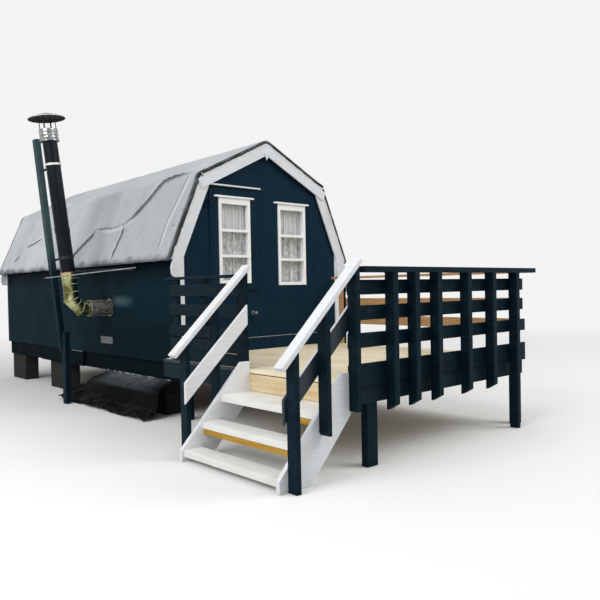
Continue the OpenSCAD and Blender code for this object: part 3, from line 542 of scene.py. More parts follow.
def ventPlastic():
    # moulded grey ABS, chalked by weather, with painted shade in its slots 30 mm apart
    paint = startMaterial("grey_vent_plastic", {"Specular IOR Level": 0.4})
    tree, place = paint.tree, paint.place
    chalk = addNode(tree, "ShaderNodeTexNoise", {
        "Vector": place, "Scale": 20.0, "Detail": 4.0, "Roughness": 0.6})
    upward = addNode(tree, "ShaderNodeSeparateXYZ", {"Vector": place}).outputs["Z"]
    slotShade = ripples(tree, upward, 0.030)
    tone = addCoats(tree, "#a6acae", [(chalk, 0.4, 0.7, 1.0, "#868c90"), (slotShade, 0.0, 0.5, 1.0, "#2a3338")])
    return finishMaterial(paint, tone, (chalk, 0.3, 0.7, 0.45, 0.6), [(chalk, 0.0006, 1.0)])


def capSheet():
    # spun steel cap: near black, with a painted highlight on the faces that look up and soot in patches
    paint = startMaterial("spun_rain_cap", {"Specular IOR Level": 0.02})
    tree = paint.tree
    facing = addNode(tree, "ShaderNodeNewGeometry").outputs["Normal"]
    upward = addNode(tree, "ShaderNodeSeparateXYZ", {"Vector": facing}).outputs["Z"]
    soot = addNode(tree, "ShaderNodeTexNoise", {
        "Vector": paint.place, "Scale": 9.0, "Detail": 5.0, "Roughness": 0.6})
    # pale where the cap faces up: painted highlight
    tone = addCoats(tree, "#08090a", [
        (upward, 0.70, 0.93, 1.0, "#a4a8a6"), (soot, 0.45, 0.75, 0.5, "#1f2321")])
    return finishMaterial(paint, tone, (soot, 0.3, 0.7, 0.3, 0.5))


surface = {
    # navy satin oil paint on upright matchboarding: dark, a little sheen, joints 95 mm apart
    "gable": timberPaint("navy_matchboard_paint", "#132838", "#182e3d", "#1d333f", 0.45, (26, 26, 2.0),
                         0.02, 0.095),
    # flat dark timber paint on sheet cladding, dull and patchy; the darker copy on rough sawn beams is
    # painted shade, as they stand in shadow under the hut
    "wall": timberPaint("dark_wall_paint", "#0d232c", "#112831", "#162b33", 0.6, (3, 3, 14), 0.02),
    "beam": timberPaint("beam_paint_with_painted_shade", "#081317", "#0d191d", "#131f21", 0.7, (30, 3, 30), 0.02),
    # navy fence paint on posts, on grooved rails and on the flue's post
    "rail": timberPaint("navy_rail_paint", "#0d1e28", "#142833", "#1b2f38", 0.42, (9, 9, 22), 0.04),
    "railFront": groovedRail("navy_grooved_railFront", 1, -2.873, -2.83),
    "railLeft": groovedRail("navy_grooved_railLeft", 0, -0.212, -0.18),
    "railRight": groovedRail("navy_grooved_railRight", 0, 2.44, 2.472),
    "railFaded": timberPaint("sun_faded_post_paint", "#0d1e28", "#142833", "#1b2f38", 0.55, (22, 22, 3),
                             0.04),
    # white gloss on planed softwood: bright, grain just visible, grey dirt in patches
    "white": timberPaint("white_gloss_upright", "#ebedf1", "#e2e4e8", "#cccbc4", 0.38, (34, 34, 2.4)),
    "whiteSlope": timberPaint("white_gloss_sloping", "#ebedf1", "#e1e4e8", "#cfcdc4", 0.42, (3, 30, 30)),
    # the bargeboards' white is a little darker than the other whites: painted shade on their front faces
    "whiteBarge": timberPaint("white_gloss_bargeboards", "#dfe2e7", "#d5d9de", "#bfc0bc", 0.42, (3, 30, 30),
                              0.3),
    "whiteRail": timberPaint("white_gloss_handrail", "#ebedf1", "#e1e4e8", "#cfcdc4", 0.42, (3, 30, 30)),
    "whiteTread": timberPaint("white_gloss_treads", "#f0f1ef", "#e6e5e0", "#cdc8b9", 0.45, (42, 3, 42)),
    "cream": timberPaint("white_sash_paint", "#f7f9fb", "#f0f2f3", "#e2e2dd", 0.4, (30, 30, 3)),
    # bare softwood: pale treated deck boards 122.5 mm apart, rims, battens, joists, floor and roof boards
    "deck": bareTimber("pale_deck_boards", "#f3ead2", "#e2d4b2", "#b08a62", (26, 1.6, 26), 0.7, (0, 0.1225)),
    "rim": bareTimber("pale_rim_timber", "#dfceaa", "#cbb288", "#98653f", (22, 1.6, 22)),
    "batten": bareTimber("yellow_brown_batten", "#c09a44", "#a67c2c", "#7d5a28", (30, 1.6, 30)),
    "joist": bareTimber("sawn_floor_joists", "#b6986a", "#94754a", "#6d4f30", (2, 26, 26)),
    "floor": bareTimber("pine_floor_boards", "#bfa273", "#a28251", "#6f4d2d", (26, 2, 26), 0.55, (0, 0.12)),
    # the roof boards' dark grey is painted shade, as they are seen from beneath in shadow
    "roofBoard": bareTimber("dark_roof_boards", "#4d4f52", "#3a3b3d", "#27241f", (22, 2, 22), 0.8, (2, 0.11)),
    # metals, the last one browned by the fire
    "stainless": stainlessSteel(),
    "collar": sheetMetal("bright_flue_collar", "#b4b6b6", "#55585a", 0.16),
    "seam": sheetMetal("bright_rolled_seam", "#f2f2ee", "#c9c9c2", 0.42, 0.55),
    "seamTintAndHighlight": seamTintAndHighlight(),
    "ribs": sheetMetal("sooted_flexible_stub", "#b4b3aa", "#3a3a36", 0.3),
    "bracket": sheetMetal("dull_zinc_strap", "#3d4246", "#282c2f", 0.5),
    "stay": sheetMetal("pale_zinc_stay", "#a6a9aa", "#787b7b", 0.4),
    "latch": sheetMetal("dull_zinc_latch", "#8f9293", "#5f6264", 0.4),
    "browned": sheetMetal("heat_browned_band", "#d9a878", "#9a5a3a", 0.25),
    "cap": capSheet(),
    "enamel": blackEnamel(),
    "concrete": concreteBlock(),
    "membrane": roofMembrane(),
    "lace": laceNet(),
    "polythene": blackPolythene(),
    "glass": windowGlass(),
    "vent": ventPlastic(),
}
paintWallShadeAndReflection("dark_wall_paint")
bareInside("navy_grooved_railRight")
fadePost("sun_faded_post_paint")

# white ends of the roof boards at both gables
for side, limit in (("LESS_THAN", -0.7), ("GREATER_THAN", 0.7)):
    overPaint("dark_roof_boards", [], [(1, side, limit)], "#e4e7ea", "#cfd2d4")
# painted highlight along the upper edge of the packing board on the beam
overPaint("beam_paint_with_painted_shade", [(0, "LESS_THAN", 0.004), (2, "GREATER_THAN", 0.626), (1, "GREATER_THAN", 2.58),
                              (1, "LESS_THAN", 2.97)], [], "#8b9698", "#566063")
# shadow line at the top of the rim by the stairs, then navy on the rim's outer faces
overPaint("pale_rim_timber", [(2, "GREATER_THAN", 0.684), (0, "LESS_THAN", -0.19)], [], "#7a4f38", "#5c3b2a")
overPaint("pale_rim_timber", [(1, "LESS_THAN", -2.8395)])
overPaint("pale_rim_timber", [(0, "GREATER_THAN", 2.468)])
overPaint("pale_rim_timber", [(0, "LESS_THAN", -0.208), (1, "GREATER_THAN", -1.53)])
# dark ends of the deck boards behind the stairs and at the front
overPaint("pale_deck_boards", [(0, "LESS_THAN", -0.185), (1, "GREATER_THAN", -1.53)], [],
          "#2c373c", "#4d5a5f")
overPaint("pale_deck_boards", [(1, "LESS_THAN", -2.8395)])
# navy ends of the mid-rail and of the handrail on the railing's face
overPaint("white_gloss_handrail", [(1, "LESS_THAN", -2.83), (2, "LESS_THAN", 0.78)], [(0, "LESS_THAN", -0.6)])
overPaint("white_gloss_handrail", [(1, "LESS_THAN", -2.866), (1, "GREATER_THAN", -2.875)],
          [(1, "LESS_THAN", -0.5)])

nodeFinish = {
    "support_piers": "concrete", "chassis": "beam", "floor_joists": "joist", "hut_floor": "floor",
    "left_wall": "wall", "right_wall": "wall", "rear_wall": "gable",
    "front_wall_left": "gable", "front_wall_right": "gable", "front_wall_head": "gable",
    "plinth_board": "gable", "corner_boards": "white", "bargeboards_front": "whiteBarge",
    "bargeboards_rear": "whiteBarge", "roof_lower_panels": "roofBoard", "roof_upper_panels": "roofBoard",
    "roof_cover": "membrane", "door_leaf": "gable", "door_window_frame": "cream",
    "door_window_glass": "glass", "door_curtain": "lace", "door_hinges": "rail", "hinge_lugs": "rail",
    "door_furniture": "latch", "door_drip": "white", "window_frame": "cream", "window_glass": "glass",
    "window_curtain": "lace", "wall_vent": "vent", "deck_boards": "deck", "deck_frame": "rim",
    "deck_legs": "rail", "railing_front": "railFront", "railing_left": "railLeft",
    "railing_right": "railRight", "stair_stringers": "whiteSlope", "stair_treads": "whiteTread",
    "handrails": "whiteRail", "stair_posts": "rail", "flue_elbow": "stainless", "flue_pipe": "enamel",
    "flue_brackets": "bracket", "flue_cowl": "collar", "flue_post": "railFaded", "skirt_sheet": "polythene",
}


def giveMaterial(piece, material):
    piece.data.materials.clear()
    piece.data.materials.append(material)


for nodeName, key in nodeFinish.items():
    giveMaterial(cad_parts[nodeName], surface[key])


def settle(piece, material, nodes=(), body="hut"):
    # finishes a piece: material, body, and the nodes that it stands for
    giveMaterial(piece, material)
    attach(piece, body)
    if nodes:
        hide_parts(*nodes)
    return piece


print("stage: eased timber")

easing = {  # node: how far its edges are rounded, in metres
    "plinth_board": 0.004, "corner_boards": 0.003, "bargeboards_front": 0.003, "bargeboards_rear": 0.003,
    "door_window_frame": 0.002, "window_frame": 0.002, "door_drip": 0.006, "deck_frame": 0.003,
    "railing_front": 0.004, "railing_left": 0.004, "railing_right": 0.004, "deck_legs": 0.004,
    "stair_stringers": 0.003, "stair_treads": 0.005, "handrails": 0.008, "stair_posts": 0.004,
    "flue_post": 0.004, "chassis": 0.005, "door_leaf": 0.003,
}


def applyAll(piece):
    deselectAll()
    piece.select_set(True)
    bpy.context.view_layer.objects.active = piece
    for modifier in list(piece.modifiers):
        bpy.ops.object.modifier_apply(modifier=modifier.name)


def easeNode(nodeName, width):
    # a copy of the node with its loose triangles merged and its arrises rounded
    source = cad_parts[nodeName]
    piece = bpy.data.objects.new("eased_" + nodeName, source.data.copy())
    bpy.context.scene.collection.objects.link(piece)
    deselectAll()
    piece.select_set(True)
    bpy.context.view_layer.objects.active = piece
    bpy.ops.object.mode_set(mode="EDIT")
    bpy.ops.mesh.select_all(action="SELECT")
    bpy.ops.mesh.remove_doubles(threshold=0.00002)
    bpy.ops.mesh.dissolve_limited(angle_limit=radians(1))
    bpy.ops.object.mode_set(mode="OBJECT")
    bevel = piece.modifiers.new("ease", "BEVEL")
    bevel.width = width
    bevel.segments = 2
    bevel.limit_method = "ANGLE"
    bevel.angle_limit = radians(28)
    applyAll(piece)
    body = "door" if nodeName.startswith("door_") and nodeName != "door_drip" else "hut"
    return settle(piece, surface[nodeFinish[nodeName]], (nodeName,), body)


for nodeName, width in easing.items():
    easeNode(nodeName, width)

print("stage: helpers for new pieces")


def addBoard(name, low, high, ease=0.003):
    # a sawn board between two corners, arrises rounded in edit mode
    deselectAll()
    low, high = at(*low), at(*high)
    bpy.ops.mesh.primitive_cube_add(size=1, location=(low + high) / 2)
    piece = bpy.context.object
    piece.name = name
    piece.scale = high - low
    bpy.ops.object.transform_apply(location=True, rotation=True, scale=True)
    bpy.ops.object.mode_set(mode="EDIT")
    bpy.ops.mesh.select_all(action="SELECT")
    bpy.ops.mesh.bevel(offset=ease, segments=2, affect="EDGES")
    bpy.ops.object.mode_set(mode="OBJECT")
    return piece


def joinPieces(name, parts):
    deselectAll()
    for part in parts:
        part.select_set(True)
    bpy.context.view_layer.objects.active = parts[0]
    if len(parts) > 1:
        bpy.ops.object.join()
    piece = bpy.context.object
    piece.name = name
    return piece


def turned(name, profile, base, direction, steps=48):
    # profile is (radius, height) from bottom to top, spun about the line through base
    deselectAll()
    bpy.ops.mesh.primitive_plane_add(size=0.01, location=(0, 0, 0))
    piece = bpy.context.object
    piece.name = name
    bpy.ops.object.mode_set(mode="EDIT")
    bpy.ops.mesh.select_all(action="SELECT")
    bpy.ops.mesh.merge(type="CENTER")
    radius, height = profile[0]
    bpy.ops.transform.translate(value=(radius, 0, height))
    for (fromR, fromH), (toR, toH) in zip(profile, profile[1:]):
        bpy.ops.mesh.extrude_region_move(TRANSFORM_OT_translate={"value": (toR - fromR, 0, toH - fromH)})
    bpy.ops.mesh.select_all(action="SELECT")
    bpy.ops.mesh.spin(steps=steps, angle=2 * pi, center=(0, 0, 0), axis=(0, 0, 1))
    bpy.ops.mesh.select_all(action="SELECT")
    bpy.ops.mesh.remove_doubles(threshold=0.00005)
    bpy.ops.mesh.normals_make_consistent(inside=False)
    bpy.ops.object.mode_set(mode="OBJECT")
    piece.rotation_mode = "QUATERNION"
    piece.rotation_quaternion = Vector((0, 0, 1)).rotation_difference(Vector(direction))
    piece.location = base
    bpy.ops.object.transform_apply(location=True, rotation=True, scale=True)
    bpy.ops.object.shade_smooth_by_angle(angle=radians(32))
    return piece


def barProfile(radius, length):
    # a solid round bar, for turned
    return [(0.0, 0.0), (radius, 0.0), (radius, length), (0.0, length)]


def tubeProfile(inner, outer, length, start=0.0):
    # a closed ring or tube, for turned
    return [(inner, start), (outer, start), (outer, length), (inner, length), (inner, start)]


def gridSheet(name, across, along, place, uvOf):
    # a sheet of across by along cells; place and uvOf take both shares from 0 to 1
    points = [place(i / across, j / along) for j in range(along + 1) for i in range(across + 1)]
    row = across + 1
    faces = [(j * row + i, j * row + i + 1, (j + 1) * row + i + 1, (j + 1) * row + i)
             for j in range(along) for i in range(across)]
    mesh = bpy.data.meshes.new(name)
    mesh.from_pydata(points, [], faces)
    layer = mesh.uv_layers.new(name="flat")
    for loop in mesh.loops:
        j, i = divmod(loop.vertex_index, row)
        layer.data[loop.index].uv = uvOf(i / across, j / along)
    mesh.polygons.foreach_set("use_smooth", [True] * len(mesh.polygons))
    piece = bpy.data.objects.new(name, mesh)
    bpy.context.scene.collection.objects.link(piece)
    return piece


print("stage: roof cover")

cover = {
    "eave": (-0.141, 1.811), "knee": (0.304, 2.836), "ridge": (1.3, 3.342),  # outer line, x and z
    "width": 2.6, "length": 5.67,  # of the walls
    "front": -0.043, "frontHigh": -0.066, "rear": 5.713, "rearHigh": 5.736,  # ends, lower and upper slope
    "flap": 0.036,  # turned down at both ends
    "round": 0.10, "steps": 240,
    "across": 236, "along": 400,
    "sag": -0.004, "clear": 0.001, "kneeLift": 0.014, "ridgeLift": 0.008, "liftReach": 0.07,
    "curl": 0.05,  # the hem rolls over this width
    # creases as (along the hut, up the slope from the hem), height, width
    "folds": [
        ([(1.34, 0.55), (1.12, 0.73), (0.94, 0.88), (0.83, 1.0), (0.70, 1.10), (0.45, 1.14), (0.12, 1.17)],
         0.032, 0.040),
        ([(1.42, 0.08), (1.39, 0.33), (1.34, 0.55)], 0.014, 0.035),
        ([(1.16, 0.66), (1.34, 0.56), (1.69, 0.525), (2.13, 0.55), (2.22, 0.51)], 0.030, 0.042),
        ([(2.74, 0.10), (2.61, 0.23), (2.37, 0.41), (2.13, 0.55)], 0.028, 0.040),
        ([(0.14, 1.12), (0.19, 0.84), (0.256, 0.52), (0.266, 0.14)], 0.014, 0.040),
        ([(0.020, 0.63), (0.075, 0.62)], 0.012, 0.020),
        ([(0.070, 0.435), (0.120, 0.425)], 0.012, 0.020),
        ([(4.81, 0.48), (4.50, 0.53), (4.22, 0.60)], 0.014, 0.030),
        ([(5.10, 0.22), (4.97, 0.33)], 0.012, 0.026),
        ([(3.44, 1.13), (3.62, 1.115), (3.84, 1.10)], 0.030, 0.030),
    ],
}


def softLine(path, steps, reach):
    # a broken line in fine steps, each point the mean of up to reach points on either side
    fine = [a.lerp(b, k / steps) for a, b in zip(path, path[1:]) for k in range(steps)] + [path[-1]]
    soft = []
    for i in range(len(fine)):
        near = min(reach, i, len(fine) - 1 - i)
        total = Vector((0, 0))
        for k in range(-near, near + 1):
            total += fine[i + k]
        soft.append(total / (2 * near + 1))
    return soft


def coverLine():
    # points (x, z, distance from the hem) of the outer line, corners rounded
    eave, knee, ridge = (Vector(cover[k]) for k in ("eave", "knee", "ridge"))
    path = [eave, knee, ridge] + [Vector((cover["width"] - p.x, p.y)) for p in (knee, eave)]
    reach = int(cover["round"] / ((knee - eave).length / cover["steps"]))
    smooth = softLine(path, cover["steps"], reach)
    length = [0.0]
    for a, b in zip(smooth, smooth[1:]):
        length.append(length[-1] + (b - a).length)
    return smooth, length


coverPath, coverLength = coverLine()
slopeLength = (Vector(cover["knee"]) - Vector(cover["eave"])).length


def onCover(distance):
    # place and outward normal on the outer line at a distance from the left hem
    last = len(coverPath) - 1
    k = min(last - 1, max(0, int(distance / coverLength[-1] * last)))
    while k < last - 1 and coverLength[k + 1] < distance:
        k += 1
    while k > 0 and coverLength[k] > distance:
        k -= 1
    a, b = coverPath[k], coverPath[k + 1]
    t = (distance - coverLength[k]) / max(1e-9, coverLength[k + 1] - coverLength[k])
    spot = a.lerp(b, t)
    near, far = coverPath[max(0, k - 6)], coverPath[min(last, k + 7)]
    along = (far - near).normalized()
    return spot, Vector((-along.y, along.x))


def awayFrom(y, s, line):
    # distance from a broken line, and which side of it the point lies on
    best, side, fade = 9.0, 1.0, 1.0
    for k, ((y0, s0), (y1, s1)) in enumerate(zip(line, line[1:])):
        dy, ds = y1 - y0, s1 - s0
        size = dy * dy + ds * ds
        t = max(0.0, min(1.0, ((y - y0) * dy + (s - s0) * ds) / size))
        gap = sqrt((y - y0 - t * dy) ** 2 + (s - s0 - t * ds) ** 2)
        if gap < best:
            best = gap
            side = 1.0 if (y - y0) * ds - (s - s0) * dy > 0 else -1.0
            whole = (k + t) / (len(line) - 1)
            fade = min(1.0, 6 * whole + 0.15, 6 * (1 - whole) + 0.15)
    return best, side, fade


def wrinkle(y, s):
    # height of the cover over its line, and the painted shade and highlight of its folds
    total = coverLength[-1]
    nearHem = min(s, total - s)
    height = 0.006 * noise.noise(Vector((y * 0.9, s * 1.1, 0.3)))
    height += 0.0035 * noise.noise(Vector((y * 3.1, s * 1.7, 4.0)))
    gather = exp(-nearHem / 0.35)
    height += 0.009 * gather * noise.noise(Vector((y * 8.0, nearHem * 1.2, 9.0 if s < total / 2 else 19.0)))
    height += 0.0012 * noise.noise(Vector((y * 22.0, s * 18.0, 2.0)))
    dark = 0.0
    mirrored = s > total / 2
    for line, rise, width in cover["folds"]:
        if mirrored:
            gap, side, fade = awayFrom(cover["length"] - y, total - s, line)
        else:
            gap, side, fade = awayFrom(y, s, line)
        if gap > 5 * width:
            continue
        # a fold lies over to one side: a long back and a steep lip
        share = gap / width
        if side > 0:
            height += rise * fade * exp(-(share / 1.9) ** 2)
            # painted highlight along the fold's long back
            dark -= 0.30 * fade * exp(-((share - 0.8) / 0.5) ** 2)
        else:
            height += rise * fade * exp(-(share / 0.55) ** 2)
            # painted shade under the fold's steep lip
            dark = max(dark, fade * exp(-((share - 0.30) / 0.50) ** 2))
    return height, dark


def coverPoint(u, v):
    # u runs from hem to hem, v from the front flap to the rear flap
    total = coverLength[-1]
    s = u * total
    spot, normal = onCover(s)
    upper = 1.0 if slopeLength < s < total - slopeLength else 0.0
    front = cover["frontHigh"] if upper else cover["front"]
    rear = cover["rearHigh"] if upper else cover["rear"]
    flap = cover["flap"]
    turns = [(front + 0.010, flap + 0.004), (front + 0.002, flap), (front, flap * 0.7),
             (front - 0.002, flap * 0.35), (front, 0.006), (front + 0.004, 0.001), (front + 0.012, 0.0)]
    count = cover["along"]
    k = round(v * count)
    if k < len(turns):
        y, drop = turns[k]
    elif count - k < len(turns):
        y, drop = turns[count - k]
        y = rear + (front - y)
    else:
        share = (k - len(turns) + 1) / (count - 2 * len(turns) + 2)
        y = turns[-1][0] + (rear + front - 2 * turns[-1][0]) * share
        drop = 0.0
    height, dark = wrinkle(y, s)
    edge = min(1.0, max(0.25, min(y - front, rear - y) / 0.08))
    if drop > 0.0005:
        height = 0.003 * noise.noise(Vector((s * 14, y * 30, 7))) * (1 if drop > 0.01 else 0)
        y += (0.004 * noise.noise(Vector((s * 9, 3.0, 5.0)))) * (1 if y > 2 else -1)
        drop += 0.006 * noise.noise(Vector((s * 11, 1.0, 8.0))) * (drop > 0.02)
    # drawn soft over the knee and the ridge, clear of the boards' corners
    bendAt = min(abs(s - slopeLength), abs(total - slopeLength - s))
    height = max(cover["sag"], height * edge) + cover["clear"]
    height += cover["kneeLift"] * exp(-(bendAt / cover["liftReach"]) ** 2)
    height += cover["ridgeLift"] * exp(-((s - total / 2) / cover["liftReach"]) ** 2)
    out = spot + normal * (height - drop)
    # the hem rolls round the edge of the eave
    nearHem = min(s, total - s)
    curl = cover["curl"]
    if nearHem < curl:
        sign = 1 if s < total / 2 else -1
        bend = 1 - nearHem / curl
        sway = 0.007 * noise.noise(Vector((y * 5.0, 0.0, 3.0 if sign > 0 else 13.0)))
        out = out + Vector((sign * (0.030 * bend * bend), 0.004 * bend + sway * bend))
        if drop <= 0.0005:
            puff = 1 + 0.6 * noise.noise(Vector((y * 9.0, 2.0, 1.0)))
            out = out + normal * (0.010 * sin(pi * (1 - bend)) * puff)
    return at(out.x, y, out.y), dark, drop, nearHem, y, s


def buildCover():
    shading = []
    total = coverLength[-1]

    def place(u, v):
        point, dark, drop, nearHem, y, s = coverPoint(u, v)
        # dirt and painted shade in a ragged band along the hem, where the fabric rolls under the eave
        ragged = 0.012 * noise.noise(Vector((y * 6, 0, 11))) + 0.006 * noise.noise(Vector((y * 25, 0, 12)))
        blotch = 0.5 + 0.9 * noise.noise(Vector((y * 3.1, s * 2.0, 31)))
        hem = max(0.0, min(1.0, (0.100 + 3 * ragged - nearHem) / 0.050)) * max(0.25, min(0.9, blotch))
        # the turned-down flaps are painted in shade
        if drop > 0.0005:
            hem = max(hem, 0.92 + 0.3 * noise.noise(Vector((s * 12, drop * 60, 2))))
        # dirt and painted shade along the front and rear edges
        verge = min(y - cover["front"], cover["rear"] - y)
        slope = slopeLength > min(s, total - s)
        reach = 0.070 if slope else 0.045
        if verge < reach:
            soft = min(1.0, (reach - verge) / 0.040)
            hem = max(hem, soft * (0.85 + 0.6 * noise.noise(Vector((s * 6, y * 9, 21)))))
        shading.append((dark, max(0.0, min(1.0, hem))))
        return point

    length = cover["rear"] - cover["front"]
    piece = gridSheet("roof_fabric", cover["across"], cover["along"], place,
                      lambda u, v: (u * total, v * length))
    for index, key in enumerate(("fold_shading", "hem")):
        layer = piece.data.attributes.new(key, "FLOAT", "POINT")
        layer.data.foreach_set("value", [pair[index] for pair in shading])
    return piece


roofFabric = settle(buildCover(), surface["membrane"], ("roof_cover",))

print("stage: curtains")

curtains = {
    "doorLace": {"node": "door_curtain", "body": "door", "folds": 8, "depth": 0.013,
                 "left": 0.012, "right": 0.030, "seed": 3.0},
    "windowLace": {"node": "window_curtain", "body": "hut", "folds": 10, "depth": 0.014,
                   "left": 0.0, "right": 0.0, "seed": 8.0},
}
laceGauge = 0.0008
wireRadius = 0.003


def buildCurtain(name, plan):
    low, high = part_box(plan["node"])
    left, right = low.x + plan["left"], high.x - plan["right"]
    middle = high.y + plan["depth"]
    height = high.z - low.z

    def place(u, v):
        seed = plan["seed"]
        drift = 0.35 * noise.noise(Vector((u * 5, v * 1.5, seed)))
        wave = sin(2 * pi * (plan["folds"] * u + drift))
        pinch = 1 - 0.45 * v ** 6
        fold = plan["depth"] * pinch * (0.75 * wave + 0.5 * noise.noise(Vector((u * 16, v * 2, seed + 2))))
        slide = 0.010 * noise.noise(Vector((v * 2.0, u * 3, seed + 5)))
        hem = 0.004 * sin(2 * pi * plan["folds"] * u) * (v < 0.02)
        upward = low.z + 0.006 + hem + (height - 0.012) * v
        return Vector((left + (right - left) * u + slide, middle + fold, upward))

    piece = gridSheet(name, 150, 90, place, lambda u, v: (u, v))
    thick = piece.modifiers.new("thread", "SOLIDIFY")
    thick.thickness = laceGauge
    applyAll(piece)
    settle(piece, surface["lace"], (plan["node"],), plan["body"])
    return piece, right - left, height


for curtainName, plan in curtains.items():
    lace, width, height = buildCurtain(curtainName, plan)
    low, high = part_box(plan["node"])
    wire = turned(curtainName + "Wire", barProfile(wireRadius, high.x - low.x),
                  (low.x, high.y + plan["depth"], high.z + 0.004), (1, 0, 0), 12)
    settle(wire, surface["latch"], (), plan["body"])

print("stage: black sheet under the long wall")

skirt = {
    # section from the beam over a shoulder and down to the ground, x and z
    "section": [(0.030, 0.447), (0.028, 0.412), (-0.170, 0.325), (-0.196, 0.072), (-0.352, 0.012)],
    # upper edge at the rear as (along the hut, height)
    "top": [(0.20, 0.447), (1.86, 0.447), (1.98, 0.34), (2.10, 0.238), (2.60, 0.180)],
    "across": 300, "along": 96, "steps": 60, "reach": 9,
    "held": 1.9,  # nailed to the beam up to here, loose beyond
    "gauge": 0.0012,
}


def skirtPath():
    # the section in fine steps with its corners rounded
    return softLine([Vector(p) for p in skirt["section"]], skirt["steps"], skirt["reach"])


def skirtTop(y):
    for (y0, z0), (y1, z1) in zip(skirt["top"], skirt["top"][1:]):
        if y <= y1:
            return z0 + (z1 - z0) * (y - y0) / (y1 - y0)
    return skirt["top"][-1][1]


def crumple(y, z, seed):
    # sharp folds: the ridges where two slopes of noise meet
    first = 1 - abs(noise.noise(Vector((y * 3.2 + z * 2.0, z * 5.0, seed)))) * 2.6
    second = 1 - abs(noise.noise(Vector((y * 9.0 - z * 5.0, z * 12.0, seed + 3)))) * 2.6
    return max(0.0, first) ** 2 + 0.4 * max(0.0, second) ** 2


def buildSkirt():
    path = skirtPath()
    last = len(path) - 1
    start, end = skirt["top"][0][0], skirt["top"][-1][0]

    def place(u, v):
        y = start + (end - start) * u
        top = skirtTop(y) + 0.006 * noise.noise(Vector((y * 7, 0, 2))) * (y > skirt["held"])
        first = next(k for k, p in enumerate(path) if p.y <= top)
        k = first + (last - first) * (1 - v)
        a, b = path[int(k)], path[min(last, int(k) + 1)]
        spot = a.lerp(b, k - int(k))
        along = (path[min(last, int(k) + 4)] - path[max(0, int(k) - 4)]).normalized()
        normal = Vector((along.y, -along.x))
        hold = min(1.0, (1 - v) * 6) if y < skirt["held"] else 1.0
        low = max(0.0, 1 - spot.y / 0.16)
        swell = 0.022 * noise.noise(Vector((y * 1.7, spot.y * 2.4, 6)))
        folded = crumple(y, spot.y, 7.0) * (0.0005 + 0.040 * low)
        fine = (0.0004 + 0.011 * low) * noise.noise(Vector((y * 26, spot.y * 22 + spot.x * 18, 2)))
        point = spot + normal * hold * (swell + folded + fine - 0.006)
        sway = 0.018 * noise.noise(Vector((y * 3.5, 0, 4))) * low
        drift = 0.01 * noise.noise(Vector((spot.y * 9, u, 3)))
        return at(max(-0.372, point.x + sway), y + drift, max(0.003, point.y))

    piece = gridSheet("black_sheet", skirt["across"], skirt["along"], place,
                      lambda u, v: (u * (end - start), v))
    thick = piece.modifiers.new("gauge", "SOLIDIFY")
    thick.thickness = skirt["gauge"]
    applyAll(piece)
    settle(piece, surface["polythene"], ("skirt_sheet",))


buildSkirt()

print("stage: deck boards")

deck = {
    "pitch": 0.1225, "gap": 0.004, "top": 0.72, "thick": 0.028, "ease": 0.0025,
    "left": -0.21, "width": 2.68, "front": -2.841, "rear": -0.020,
}


def buildDeck():
    # one board with eased edges, copied side by side
    count = int(deck["width"] / deck["pitch"])
    pitch = deck["width"] / count
    low = (deck["left"], deck["front"], deck["top"] - deck["thick"])
    high = (deck["left"] + pitch - deck["gap"], deck["rear"], deck["top"])
    first = addBoard("deck_board", low, high, deck["ease"])
    boards = [first]
    for k in range(1, count):
        board = bpy.data.objects.new("deck_board", first.data.copy())
        bpy.context.scene.collection.objects.link(board)
        rise = 0.0012 * noise.noise(Vector((k * 3.3, 0, 0)))  # no two boards lie quite level
        board.data.transform(Matrix.Translation((k * pitch, 0, rise)))
        boards.append(board)
    settle(joinPieces("laid_deck_boards", boards), surface["deck"], ("deck_boards",))


buildDeck()

print("stage: tread battens")

battens = {
    "depth": 0.05, "set": (0.006, 0.028), "ease": 0.002,
    # front edge and top of the tread, near and far end of its batten
    "treads": [(-0.741, 0.255, -2.826, -1.582), (-0.543, 0.468, -2.826, -2.42)],
}


def buildBattens():
    # bare battens under the front edge of the second and third treads
    parts = []
    inner, outer = battens["set"]
    for index, (front, top, near, far) in enumerate(battens["treads"]):
        parts.append(addBoard("batten%d" % index, (front + inner, near, top - battens["depth"]),
                              (front + outer, far, top), battens["ease"]))
    settle(joinPieces("tread_battens", parts), surface["batten"], (), "hut")


buildBattens()

print("stage: flue")

flue = {
    "radius": 0.089, "out": 0.518, "y": 1.70, "z": 1.265, "bend": 0.205,  # metres
    "lean": 6.0, "back": 1.7,  # degrees away from the wall and towards the rear
    "neck": 0.262, "pipe": 1.64,
    "sides": 48, "elbowWall": 0.004, "sleeve": 0.29, "ribs": 10, "ribPitch": 0.024,
    "hoopX": -0.285, "bandDown": 0.012, "clampUp": 1.608,
    "stayWall": (-0.050, 0.855, 1.764), "stayFree": (-0.760, 1.856, 1.664), "stayRadius": 0.006,
    "capRadius": 0.223, "rimUp": 0.291, "legs": 4, "leg": (0.004, 0.018, 0.150), "legUp": 0.218,
}


def flueLine():
    # foot and direction of the leaning flue
    base = at(-flue["out"], flue["y"], flue["z"] + flue["bend"])
    tilt = Matrix.Rotation(-radians(flue["lean"]), 3, "Y") @ Matrix.Rotation(-radians(flue["back"]), 3, "X")
    return base, tilt @ Vector((0, 0, 1))


flueBase, flueUp = flueLine()


def ringAt(name, radius, centre, direction, bead=0.004, wide=0.010):
    # a rolled bead round the flue
    inner, shoulder, crown = radius - 0.002, radius + bead * 0.7, radius + bead
    profile = [(inner, -wide / 2), (shoulder, -wide / 2), (crown, -wide / 4), (crown, wide / 4),
               (shoulder, wide / 2), (inner, wide / 2), (inner, -wide / 2)]
    return turned(name, profile, centre, direction)


